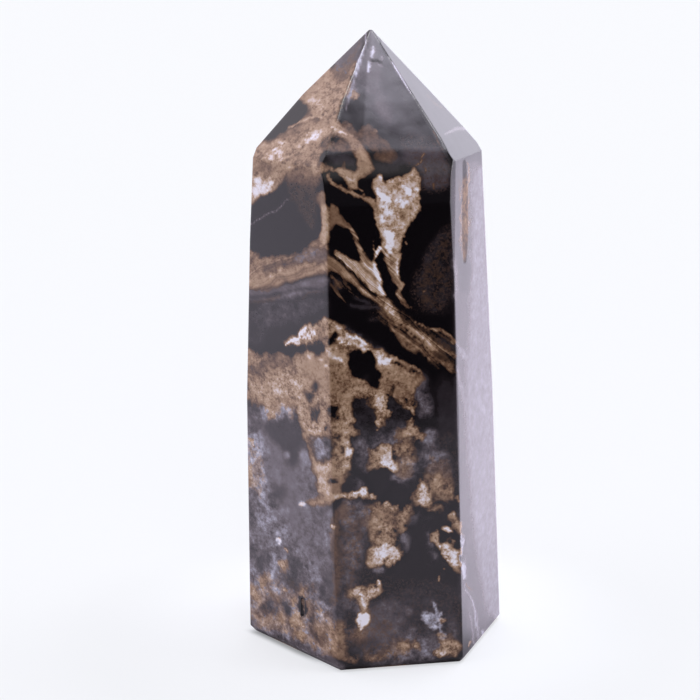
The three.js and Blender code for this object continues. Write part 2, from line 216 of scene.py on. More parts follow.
# Soft patches that lie over everything above, on all the sides that show. Grey first, then the
# warm colours from the broad masses to the fine ones.
LATER_GREY = {
    "shoulder": (0.38, 5, "400,136 424,132 448,158 452,172 449,189 421,190 418,168 400,158"),
    "under the arch": (0.26, 4, "323,150 347,153 357,160 356,168 345,163 336,168 326,160"),
    "ring of the swirl": (0.16, 2, "322,173 332,184 326,183"),
    "below the shoulder": (0.2, 5, "366,158 404,158 404,170 384,177 372,172"),
    "spot over the corner": (0.52, 1.5, "305,161 317,165 306,165"),
    "wisp": (0.26, 1.5, "348,302 360,305 374,305 384,303 386,318 380,320 379,309 362,310 350,307"),
    "second wisp": (0.2, 2, "367,318 380,317 382,322 368,322"),
    "third wisp": (0.24, 1.5, "354,294 364,298 372,303 370,306 352,298"),
    "left shelf": (0.26, 3, "330,276 340,278 344,290 332,290"),
    "speckled field": (0.17, 5, "452,226 440,232 420,266 414,300 432,312 453,312"),
    "rim of the speckled field": (0.22, 3, "438,232 446,236 426,266 430,302 440,310 430,314 419,300 "
        "417,276 424,256"),
    "patch by the right edge": (0.3, 4, "434,338 452,340 454,354 440,352"),
    "rim of the crest": (0.48, 2.5, "342,326 352,330 362,337 374,342 386,352 380,353 344,333"),
    "low in the hole": (0.42, 3, "360,382 368,379 370,390"),
    "right of the mass": (0.5, 5, "410,376 424,372 430,384 428,414 419,418"),
    "far field": (0.21, 6, "436,376 457,380 458,446 440,448 432,420"),
    "upper middle": (0.24, 5, "350,398 400,396 410,410 410,430 400,442 376,442 354,436"),
    "halo": (0.56, 4, "424,430 434,430 438,440 434,448 424,444"),
    "left of the knots": (0.52, 4, "354,438 372,438 374,458 356,458"),
    "over the left knot": (0.46, 3, "382,437 391,437 393,446 382,446"),
    "dark by the knots": (0.34, 3, "357,458 372,458 372,472 357,470"),
    "under the column": (0.16, 3, "340,472 356,471 360,482 352,494 342,493"),
    "beside it": (0.5, 3, "352,482 362,480 364,490 354,492"),
    "grey of the middle": (0.6, 4, "398,458 412,456 414,470 408,488 398,486 396,470"),
    "spot of the middle": (0.64, 2, "391,475 397,475 398,482 392,483"),
    "right of the middle": (0.48, 6, "420,446 446,448 452,470 450,486 436,486 420,470"),
    "pale spot at the right": (0.42, 3, "441,452 447,452 447,459"),
    "first hollow": (0.14, 2, "374,471 388,471 391,478 383,498 378,497 372,480"),
    "second hollow": (0.14, 2, "408,472 416,470 419,476 414,491 410,492 407,482"),
    "third hollow": (0.14, 3, "390,486 408,487 412,496 404,502 390,500"),
    "under the line": (0.44, 4, "337,500 372,498 376,530 338,530"),
    "smooth dark field": (0.14, 2, "452,492 438,491 440,516 432,516 421,512 413,518 408,526 412,545 "
        "410,554 388,575 386,582 420,584 461,598 461,567 450,566 432,546 431,534 452,520"),
    "edge of the dark field": (0.42, 2, "411,514 419,511 418,518 410,526 407,522"),
    "field of the left front": (0.5, 7, "244,404 262,410 296,404 306,440 316,480 334,506 334,560 "
        "344,670 240,660"),
    "dark top of that field": (0.26, 5, "262,412 300,410 304,440 300,462 290,470 284,450 266,434"),
    "dark middle of it": (0.33, 4, "270,484 288,484 286,500 272,502"),
    "lilac under the left mass": (0.7, 3, "258,404 272,404 282,400 292,406 291,418 284,416 272,421 "
        "262,418"),
    "column at the left": (0.68, 3, "245,418 258,424 263,440 260,456 262,474 269,488 265,499 252,501 "
        "245,480"),
    "dark in that column": (0.35, 2, "250,420 262,420 262,430 253,434"),
    "second in that column": (0.36, 2, "250,490 259,490 259,496 251,497"),
    "beside the column": (0.56, 3, "271,463 277,466 282,485 277,486 272,476"),
    "over the dark foot": (0.6, 2.5, "260,508 266,505 274,507 277,525 281,533 276,537 262,526"),
    "left of the main column": (0.56, 4, "300,452 308,456 313,470 316,486 308,484 302,470"),
    "in the main column": (0.74, 3, "311,437 322,433 334,438 330,452 322,460 314,456"),
    "dark in the main column": (0.22, 2, "320,438 330,437 333,444 324,448"),
    "streak of the left foot": (0.74, 2.5, "276,557 282,557 283,562 280,570 272,581 268,577 270,569 "
        "275,565"),
    "dark beside the streak": (0.3, 4, "287,556 300,556 300,576 296,592 290,580"),
    "right of the left front": (0.47, 5, "306,506 332,506 334,560 318,570 306,560"),
    "lilac at the edge": (0.58, 3, "325,508 333,512 334,530 330,548 322,552 326,530"),
    "dark right foot": (0.36, 5, "320,576 334,574 336,600 322,606"),
    "low middle": (0.56, 5, "296,600 330,606 338,660 320,650"),
    "foot of the left front": (0.63, 8, "244,572 275,580 338,620 340,664 300,650 244,630"),
    "left dark field": (0.3, 5, "254,308 290,302 326,299 326,304 300,320 262,330 254,326"),
    "dark left of the slot": (0.2, 2, "283,600 289,601 289,611 284,611"),
    "dark low left": (0.32, 4, "262,602 278,604 276,616 264,614"),
    "dark by the foot": (0.3, 3, "312,632 326,634 326,642 314,642"),
    "foot of the front": (0.45, 8, "338,505 366,505 368,560 352,580 372,612 400,590 455,600 462,664 "
        "340,668"),
    "dark of the front foot": (0.2, 6, "392,584 462,584 462,606 440,604 420,598 404,606 386,600"),
    "left of the blot": (0.1, 3, "345,611 353,613 355,628 350,630 344,626"),
    "right of the blot": (0.4, 6, "376,600 400,606 404,636 384,640 374,622"),
    "low dark": (0.3, 4, "352,640 384,638 386,654 350,656"),
    "fringe of the right knot": (0.5, 2.5, "427,535 433,532 434,545 432,557 428,550"),
    "over the big knot": (0.5, 3, "366,520 384,518 384,526 368,530"),
    "under the big knot": (0.58, 3, "371,566 384,566 382,575 372,575"),
    "ground of the blot": (0.2, 5, "404,600 452,600 452,630 446,640 430,634 414,636 404,624"),
    "grey blot": (0.8, 1.5, "423,613 430,612 437,613 439,620 432,624 430,628 425,628 422,620"),
    "spike of the blot": (0.72, 1.2, "434,599 437,603 439,613 434,612"),
    "tail of the blot": (0.74, 1.5, "438,624 441,624 443,631 447,638 445,641 438,632"),
    "speckled foot": (0.62, 3, "390,647 400,646 412,652 412,658 396,658"),
    "right of the speckled foot": (0.58, 3, "419,645 434,646 436,656 420,657"),
    "low at the right edge": (0.42, 3, "451,628 459,630 458,642 452,641"),
    "right side": (0.36, 4, "452,160 486,160 500,640 462,655 456,430 452,260"),
    "bright right side": (0.6, 5, "472,164 490,164 495,300 510,620 492,624 482,590 474,540 470,480 "
        "466,440 465,370 470,330 471,240"),
    "second hole": (0.17, 2, "352,400 368,408 375,426 380,436 374,440 362,432 354,416"),
    "third hole": (0.2, 2, "388,397 396,399 406,424 398,426 391,421"),
    "lilac between the holes": (0.5, 3, "372,440 392,432 412,426 414,440 400,446 380,444"),
    "lilac by the hole of the column": (0.64, 2, "299,451 308,451 312,462 308,466 300,460"),
    "lilac dot of the field": (0.62, 2, "284,452 289,452 289,459 284,459"),
    "second lilac dot": (0.62, 2, "267,447 271,447 271,455 267,455"),
    "lilac at the left": (0.72, 2, "250,437 262,440 265,452 262,465 252,462"),
    "second lilac at the left": (0.68, 2, "255,467 264,468 266,482 257,481"),
    "lilac under the spot": (0.6, 2, "281,507 290,507 290,514 281,514"),
    "grey fleck of the foot": (0.44, 2, "403,604 412,608 410,618 402,614"),
    "second grey fleck of the foot": (0.46, 2, "408,628 420,632 418,642 408,640"),
    "third grey fleck of the foot": (0.42, 2, "446,626 453,628 452,640 446,636"),
    "dark at the far left": (0.26, 3, "265,603 273,604 272,613 266,612"),
    "dark middle of the left front": (0.28, 3, "292,557 301,558 300,576 293,574"),
    "dark right of the streak": (0.26, 3, "288,577 295,578 297,592 289,590"),
    "dark left of the streak": (0.28, 4, "253,551 267,552 266,568 254,568"),
    "dark of the right foot half": (0.28, 3, "318,588 331,590 330,600 320,600"),
    "dark under the slot's right": (0.22, 2, "310,613 317,614 316,620 311,619"),
    "low dark of the foot": (0.22, 2, "314,634 322,636 320,642 314,641"),
    "lilac by the band's foot": (0.62, 2, "259,508 266,506 274,530 266,532 261,522"),
    "lilac below it": (0.64, 1.5, "270,524 279,530 280,535 272,533"),
    "lilac of the streak": (0.64, 1.5, "275,562 279,564 276,573 271,580 268,576"),
    "lilac fleck": (0.62, 1.2, "286,547 289,548 291,553 288,554"),
    "lilac of the right foot half": (0.62, 1.5, "317,603 323,605 323,611 318,610"),
    # Painted shade: the slot and its lip are painted dark, as the shade in the pit
    "slot": (0, 0.5, "298.8,596 304,598 304,619 298.8,617.5"),
    "shade of the left foot": (0.4, 2.5, "252,629 262,630 284,634 292,640 332,658 344,664 346,672 "
        "336,674 252,642"),
    # Painted shade: darker above the shoulder, where the point's reflection falls off
    "above the shoulder": (0.16, 5, "394,134 432,132 442,149 430,151 398,152"),
    "under the shoulder's left": (0.34, 4, "386,153 402,154 402,163 388,164"),
    "light under the tip": (0.38, 5, "366,46 372,42 380,60 384,80 378,96 366,96 360,84 362,64"),
    "under the right shoulder": (0.36, 5, "402,150 438,150 444,158 440,164 402,164"),
    "mist under the knots": (0.54, 3, "394,460 412,458 419,464 415,474 402,480 394,476"),
    "right of the big knot": (0.48, 3, "399,532 408,530 411,542 408,552 401,552"),
    "upper left of the right side": (0.22, 4, "456,166 467,166 469,230 471,290 458,290"),
    "right of the upper knot": (0.44, 3, "416,384 424,380 429,390 430,404 428,414 421,412"),
    "mist right of the upper knot": (0.56, 3, "424,430 432,428 437,438 434,446 427,446"),
}

LATER_WARM = {
    "under the wedge": (0.42, 3, "278,134 290,131 300,128 300,136 288,140 276,141"),
    "brown by the left edge": (0.46, 4, "252,163 270,160 274,172 258,176"),
    "brown over the dark field": (0.42, 5, "284,166 318,166 322,180 308,190 296,188 286,182"),
    "flecks over the dark field": (0.2, 6, "284,184 318,180 322,212 312,240 298,212 286,198"),
    "rim of the spot": (0.6, 1.5, "300,158 321,155 319,158 302,162"),
    "spot over the corner": (0, 1.5, "306,161 312,159 310,166 306,164"),
    "wedge on the point": (0.34, 2, "340,121 352,125 362,124 368,122 374,128 380,137 388,141 393,148 "
        "388,157 368,148 361,142 348,131"),
    "gap in the wedge": (0.05, 2, "352,118 361,119 360,130 354,129"),
    "spot on the point": (0.56, 1.5, "349,90 353,88 359,92 360,98 355,101 350,97"),
    "left ridge": (0.5, 2, "347,70 352,64 358,61 357,68 352,80 344,94"),
    "brown in the arch": (0.36, 2, "322,140 334,137 346,140 352,147 350,152 324,151"),
    "ring of the arch": (0.54, 2, "347,134 356,138 364,148 370,156 374,165 373,172 368,176 360,179 "
        "356,171 357,160 352,152"),
    "light of the ring": (0.66, 1.5, "356,144 365,154 367,160 364,162 357,149"),
    "left leg of the arch": (0.56, 1.5, "306,138 321,142 324,149 320,158 321,164 327,167 326,172 "
        "320,173 318,178 312,176 306,166"),
    "inside of the arch": (0, 1.5, "323,150 328,152 353,157 357,163 358,168 353,168 324,158"),
    "spur in the arch": (0.38, 1.5, "342,161 346,161 347,170 341,170"),
    "floor of the arch": (0.54, 1.5, "320,164 328,165 336,169 350,173 342,175 334,171 324,170"),
    "swirl": (0.62, 1.5, "337,167 344,168 352,170 359,171 361,177 358,183 357,189 352,191 347,187 "
        "342,180 338,174"),
    "light of the swirl": (0.76, 1, "344,176 350,178 355,180 354,184 348,182"),
    "hole of the swirl": (0, 1.5, "320,172 330,171 342,184 324,184"),
    "notch at the point's foot": (0, 1.5, "372,150 374,168 372,160"),
    "spot in the notch": (0.6, 1, "392,159 392,161 388,161"),
    "arrowhead": (0.66, 1.2, "373,178 377,175 380,174 385,179 388,181 393,180 400,176 408,173 412,170 "
        "414,166 416,170 419,174 421,182 419,190 422,197 419,204 421,209 416,216 414,222 408,227 "
        "406,232 403,238 400,246 399,254 399,262 400,272 401,281 406,284 405,287 401,290 396,284 "
        "391,275 388,265 384,256 382,248 381,236 379,229 376,223 374,215 374,208 376,202 375,195 "
        "372,187"),
    "brown in the arrowhead": (0.5, 2, "400,206 407,205 410,212 407,221 402,222 399,214"),
    "second brown": (0.56, 2, "384,184 398,185 399,190 388,191"),
    "foot of the stem": (0.54, 2, "384,256 392,258 396,266 396,274 401,283 401,288 394,282 388,268"),
    "stripe on the edge": (0.66, 1.5, "320,203 326,203 329,210 329,234 328,246 320,242 318,236 322,228 "
        "321,214"),
    "top of the stripe": (0.46, 2, "316,196 322,190 327,196 324,206 318,206"),
    "right of the stripe": (0.44, 1.5, "329,203 336,204 340,214 344,221 350,227 348,230 341,226 "
        "336,222 332,228 329,230"),
    "fan": (0.66, 1.2, "334,250 342,253 350,259 356,262 362,262 368,261 374,262 378,268 381,278 "
        "384,290 387,297 383,299 376,293 370,289 364,283 358,278 352,271 346,266 340,260 335,254"),
    "wing by the fan": (0.44, 2, "327,254 334,258 342,265 350,272 358,282 366,289 374,295 380,299 "
        "378,303 370,299 362,293 354,286 346,280 338,276 328,272"),
    "light of the wing": (0.58, 1.5, "340,270 346,271 351,277 347,279 342,276"),
    "second light of the wing": (0.62, 1.5, "360,286 366,289 372,295 368,296 362,291"),
    "patch under the wing": (0.3, 2, "333,279 345,280 348,285 342,289 334,287"),
    "hollow by the edge": (0, 1.5, "328,273 336,272 341,276 340,280 328,279"),
    "haze of the strands": (0.2, 5, "372,300 400,305 420,322 456,338 456,380 436,372 410,352 388,330 "
        "378,318"),
    "speckled field": (0.15, 5, "453,222 446,226 414,276 412,295 416,313 453,313"),
    "trunk": (0.52, 1.2, "376,296 386,299 392,303 397,309 401,317 407,324 414,328 422,333 430,339 "
        "436,345 440,350 434,352 427,349 420,344 407,333 390,316 384,308 376,302"),
    "light of the trunk": (0.63, 1.5, "384,300 391,303 396,309 399,316 393,312 387,307"),
    "light of the upper ribbon": (0.6, 1.5, "418,334 425,337 431,342 433,346 427,345 421,340"),
    "lower trunk": (0.44, 1.5, "386,316 390,319 398,329 403,333 409,337 415,342 430,350 436,355 "
        "440,360 438,364 426,356 412,350 406,345 399,338 394,332"),
    "light of the lower trunk": (0.56, 1.2, "390,321 394,325 397,330 394,330 391,326"),
    "branch of the trunk": (0.46, 1.5, "438,357 443,360 448,364 453,369 457,374 450,371 444,367 "
        "440,363"),
    "crest": (0.6, 1.5, "326,317 331,321 358,338 374,346 382,350 385,356 397,360 400,364 384,371 "
        "374,354 366,352 357,354 345,343 336,337 326,324"),
    "mass left of the crest": (0.46, 2, "320,322 330,324 336,332 334,340 326,344 318,338"),
    "hole in the crest": (0.05, 1.5, "331,337 336,337 338,342 334,345 330,342"),
    "brown under the crest": (0.44, 2, "328,344 342,345 346,354 330,350"),
    "shelf": (0.7, 1.5, "324,349 332,351 340,354 334,362 326,359"),
    "slit of the shelf": (0.1, 1, "339,353 343,354 340,356"),
    "whole mass on the front": (0.56, 3, "330,350 350,352 412,368 422,374 412,400 396,396 380,390 "
        "366,398 350,402 350,470 330,500"),
    "inner mass": (0.52, 2, "330,362 348,364 343,403 330,402"),
    "right mass": (0.55, 2, "420,374 423,381 416,386 417,396 410,399 382,390"),
    "dark in the right mass": (0.15, 1.5, "389,388 394,388 393,392 388,392"),
    "ledge": (0.7, 1.5, "366,388 371,391 369,398 362,397"),
    "spot in the ledge": (0.1, 1, "363,391 367,391 368,396 364,396"),
    "tongue": (0.72, 1.5, "371,389 384,389 385,396 384,406 386,410 383,417 380,420 379,427 376,422 "
        "370,410 369,403 371,396"),
    "dark in the tongue": (0.1, 1, "372,411 375,411 376,416 373,416"),
    "light of the tongue": (0.8, 1, "376,412 379,411 380,418 377,419"),
    "patch by the dark": (0.64, 2, "404,402 410,401 418,402 417,408 412,413 406,410"),
    "column": (0.62, 2, "334,402 344,404 349,410 354,432 351,440 352,452 351,470 344,472 338,466 "
        "346,442 334,424"),
    "light of the column": (0.84, 1.5, "345,444 349,440 351,446 350,457 346,459"),
    "foot of the column": (0.48, 2, "330,455 338,458 344,470 341,482 343,490 340,500 331,500"),
    "spots of the column": (0.05, 1.5, "331,404 337,406 338,414 336,422 331,420"),
    "second spot": (0.05, 1.2, "338,430 342,431 341,437 338,436"),
    "third spot": (0.05, 1.2, "339,447 344,446 343,456 339,455"),
    "lens": (0.05, 0.8, "325,481 331,479 339,480 337,484 330,484"),
    "upper knot": (0.64, 1.5, "411,416 414,418 418,421 424,434 427,438 425,441 418,441 408,441 401,438 "
        "406,432 409,425"),
    "dark in the upper knot": (0.15, 1.2, "416,423 420,423 420,428 416,428"),
    "dark under the upper knot": (0.22, 1.2, "404,438 416,437 417,443 406,443"),
    "flecks left of it": (0.42, 3, "396,428 406,428 406,440 398,442"),
    "left knot": (0.74, 1.5, "371,450 384,443 391,446 392,454 397,461 398,468 392,471 385,470 378,467 "
        "374,463 374,455"),
    "brown of the left knot": (0.56, 2, "376,448 384,443 388,448 386,455 378,456"),
    "light of the left knot": (0.78, 1.5, "380,460 391,466 382,466"),
    "middle knot": (0.66, 1.5, "394,449 400,446 407,447 402,457 396,454"),
    "right knot": (0.58, 1.5, "432,533 438,530 441,536 441,548 436,548 432,542"),
    "between the knots": (0.52, 3, "392,444 412,442 420,456 412,462 400,460"),
    "dark of the knots": (0.05, 1, "392,453 396,453 396,458 392,458"),
    "second dark of the knots": (0.05, 1, "407,453 411,453 411,457 407,457"),
    "speckle of the middle": (0.32, 4, "398,458 414,456 412,474 404,478 396,470"),
    "lower knot": (0.68, 2, "419,482 423,479 427,484 432,490 434,497 431,505 424,508 416,506 412,499 "
        "414,490"),
    "light of the lower knot": (0.72, 1.5, "420,484 425,484 424,498"),
    "right of the lower knot": (0.46, 5, "424,470 446,472 452,486 448,500 436,498 428,484"),
    "flecks of the right field": (0.2, 6, "420,450 448,452 452,470 428,472"),
    "rib at the right": (0.52, 1.5, "446,488 450,487 452,495 450,498"),
    "line": (0.7, 1.2, "330,497 341,493 350,496 358,492 365,490 372,489 378,495 372,495 364,496 "
        "356,498 350,500 342,498 330,502"),
    "white of the line": (0.93, 1, "350,496 354,495 358,492 365,491 365,494 358,495 352,499"),
    "knot under the line": (0.72, 1.5, "383,501 388,500 393,503 397,507 397,512 393,513 384,508"),
    "small knot beside it": (0.64, 1.5, "377,505 382,504 383,509 380,512 377,509"),
    "dark of that knot": (0.05, 0.8, "384,506 386,506 386,509 384,509"),
    "brown by the dark field": (0.54, 3, "400,506 410,506 414,512 408,520 404,530 398,530 400,518"),
    "mottle under the line": (0.46, 5, "366,500 400,512 402,530 384,534 366,528"),
    "right edge": (0.5, 2, "448,511 455,510 460,520 461,532 455,528 450,519"),
    "light of the right edge": (0.66, 1.2, "448,512 454,512 456,516 450,516"),
    "left flecks under the line": (0.34, 4, "338,502 350,504 352,520 340,524"),
    "flecks of the left foot": (0.19, 10, "244,576 290,570 330,588 344,668 300,656 244,630"),
    "flecks of the left edge": (0.2, 5, "244,430 258,440 268,470 268,500 250,500"),
    "tan at the left edge": (0.5, 1.5, "246,461 252,463 255,474 253,488 248,492 246,480"),
    "line on the left front": (0.58, 2.5, "304,502 312,499 322,497 333,497 333,503 322,506 310,506"),
    "tan of the left foot": (0.62, 2, "278,560 285,559 287,566 285,572 280,569"),
    "tan at the low left edge": (0.6, 3, "249,588 256,588 257,598 250,601"),
    "second at the low left edge": (0.46, 3, "259,574 266,574 266,590 261,590"),
    "left of the slot": (0.52, 1.5, "289,597 295,596 295,607 290,606"),
    "left foot tan": (0.52, 2, "261,576 267,577 268,584 262,584"),
    "left foot edge": (0.56, 2, "250,589 255,589 255,598 251,599"),
    "left foot low left": (0.46, 2, "259,596 263,597 263,604 260,604"),
    "left foot fleck": (0.48, 1.5, "269,593 272,593 273,598 270,598"),
    "far left of the slot": (0.48, 1.5, "276,596 279,597 280,603 277,603"),
    "low left fleck": (0.56, 2, "278,614 284,616 283,624 279,622"),
    "low tan of the left foot": (0.56, 2, "295,630 303,631 303,642 297,641"),
    "right tan of the left foot": (0.52, 3, "314,621 326,634 318,636"),
    "foot's brown": (0.44, 3, "306,639 317,649 309,649"),
    "foot's right brown": (0.5, 3, "331,627 342,641 333,640"),
    "foot's lower right brown": (0.46, 3, "340,646 340,660 330,656"),
    "dark left of the slot": (0.06, 2, "283,600 289,601 289,611 284,611"),
    "dark at the far left": (0.06, 3, "265,603 273,604 266,612"),
    "dark of the right foot half": (0.06, 3, "318,588 330,600 320,600"),
    "dark under the slot's right": (0.06, 2, "317,614 316,620 311,619"),
    "low dark of the foot": (0.06, 2, "314,634 322,636 320,642"),
    "over the slot": (0.6, 1.5, "299,585 303,584 305,590 304,597 300,597"),
    "right of the slot": (0.44, 3, "305,598 311,600 310,613 305,614"),
    "under the slot": (0.64, 2, "291,614 303,617 303,627 297,625 291,621"),
    "low left tan": (0.5, 3, "276,610 284,614 284,624 278,624"),
    "bottom left tan": (0.42, 5, "252,612 270,616 276,628 256,624"),
    "right of the left foot": (0.38, 6, "316,618 334,622 338,640 322,636"),
    "bottom right of the left foot": (0.36, 7, "310,640 338,640 342,664 316,654"),
    "edge stripe": (0.36, 4, "332,510 341,510 341,600 333,604"),
    "low edge stripe": (0.46, 4, "334,620 347,626 348,652 338,664 332,640"),
    "brown right of the edge": (0.17, 8, "340,506 366,506 366,576 342,620"),
    "flecks of the front's foot": (0.16, 6, "350,600 400,620 404,660 350,664"),
    "top of the big knot": (0.48, 3, "370,524 384,522 396,527 399,540 394,548 376,546 368,538"),
    "light top of the big knot": (0.68, 1.5, "383,525 389,527 388,533 382,531"),
    "big knot": (0.68, 1.5, "372,546 382,542 394,543 400,549 401,558 396,563 389,568 386,563 380,567 "
        "370,568 368,558 371,552"),
    "left of the big knot": (0.56, 2.5, "368,548 374,546 374,567 369,568"),
    "dark of the big knot": (0.1, 1, "386,559 388,560 389,567 386,567"),
    "second dark of it": (0.2, 0.8, "390,557 393,557 393,559 390,559"),
    "spots over it": (0.16, 1.2, "374,529 379,530 379,534 375,535"),
    "second spot over it": (0.14, 1.5, "393,532 398,534 397,540 393,539"),
    "slanting knot": (0.64, 2, "347,594 354,587 361,588 366,591 372,586 380,582 384,585 382,592 "
        "374,596 370,600 370,612 361,613 360,606 356,600 350,598"),
    "column of the right knot": (0.72, 1.5, "441,540 446,542 451,541 453,549 462,549 463,567 455,566 "
        "447,565 443,556"),
    "knot above it": (0.74, 1.2, "443,526 447,524 450,528 449,532 444,531"),
    "brown edge of it": (0.5, 2, "453,520 461,520 462,537 456,534"),
    "dark of it": (0.06, 1.2, "453,539 460,540 459,549 455,548"),
    "ground of the blot": (0.1, 5, "404,600 452,600 446,640 414,636"),
    "tan under the blot's end": (0.56, 1.2, "437,632 442,634 442,638 437,636"),
    "beside the tail": (0.5, 1, "440,621 446,620 448,622 443,625"),
    "brown under the blot": (0.36, 4, "350,629 366,630 366,640 350,642"),
    "right foot": (0.56, 3, "446,637 461,640 462,656 438,657 438,651"),
    "tan of the right foot": (0.7, 1.5, "437,651 446,650 447,655 439,657"),
    "tan of the foot": (0.72, 1.5, "412,643 418,642 420,650 414,650"),
    "brown of the foot": (0.52, 3, "396,642 412,642 408,652 396,650"),
    "left of the foot": (0.44, 3, "344,656 358,656 356,664 343,664"),
    "foot line": (0.46, 2.5, "366,655 396,653 396,658 366,659"),
    "brown at the right edge": (0.52, 2, "454,566 461,568 461,576 455,573"),
    "white blot": (0.97, 1, "354,614 358,613 362,615 366,613 370,614 371,619 369,624 365,627 362,630 "
        "358,628 356,625 355,620"),
    "dot of the white blot": (0.3, 0.6, "360,620 362,620 360,622"),
    "vein on the right side": (0.36, 2, "460,164 469,163 470,180 470,215 469,240 467,258 465,266 "
        "462,258 460,240 459,215"),
    "dark top of the vein": (0, 1.5, "460,163 466,163 465,178 462,181"),
    "bright by the hole": (0.76, 2.5, "374,355 382,355 392,358 396,362 388,367 378,366 374,360"),
    "big hole": (0, 1.2, "347,354 356,352 366,353 373,356 375,364 372,368 377,373 379,381 379,388 "
        "375,389 370,384 365,379 360,378 354,377 350,370 350,362"),
    "second hole": (0, 1.5, "352,400 360,402 368,408 372,416 374,440 362,432 354,416"),
    "third hole": (0, 1.5, "388,397 396,399 407,414 388,410"),
    "left of the left knot": (0.5, 2.5, "368,448 376,446 376,470 368,468"),
    "right of the upper knot": (0, 2, "418,384 424,380 432,384 438,460 430,452 427,437 421,426 417,416 "
        "415,404"),
    "tan over the left mass": (0.64, 5, "264,372 296,366 300,400 280,404 262,396"),
    "tan of the left column": (0.74, 3, "308,424 322,430 326,460 332,494 326,502 316,478 310,450"),
    "by the trunk": (0.28, 3, "376,310 386,311 390,318 384,323 377,319"),
    "brown of the hole": (0.34, 1.5, "325,177 332,184 328,184"),
    "grey in the main column": (0.08, 3, "309,436 322,433 336,436 336,446 330,460 318,462 311,452"),
    "left part of the mass": (0.6, 4, "244,378 262,378 272,392 262,402 244,400"),
    "bits under the hole": (0.68, 2, "350,388 360,385 368,389 366,396 356,399 350,396"),
    "flecks right of the knot": (0.46, 2.5, "428,508 436,506 442,508 441,514 434,512 428,514"),
    # Painted shade: no warm colour in the slot and on its lip, as the shade in the pit
    "slot": (0, 0.5, "298.8,596 304,598 304,619 298.8,617.5"),
    "shade of the left foot": (0, 2.5, "252,629 272,632 284,634 292,640 332,658 344,664 346,672 "
        "252,642"),
    "brown under the shoulder": (0.3, 4, "374,147 394,147 399,156 396,163 382,163 372,156"),
}

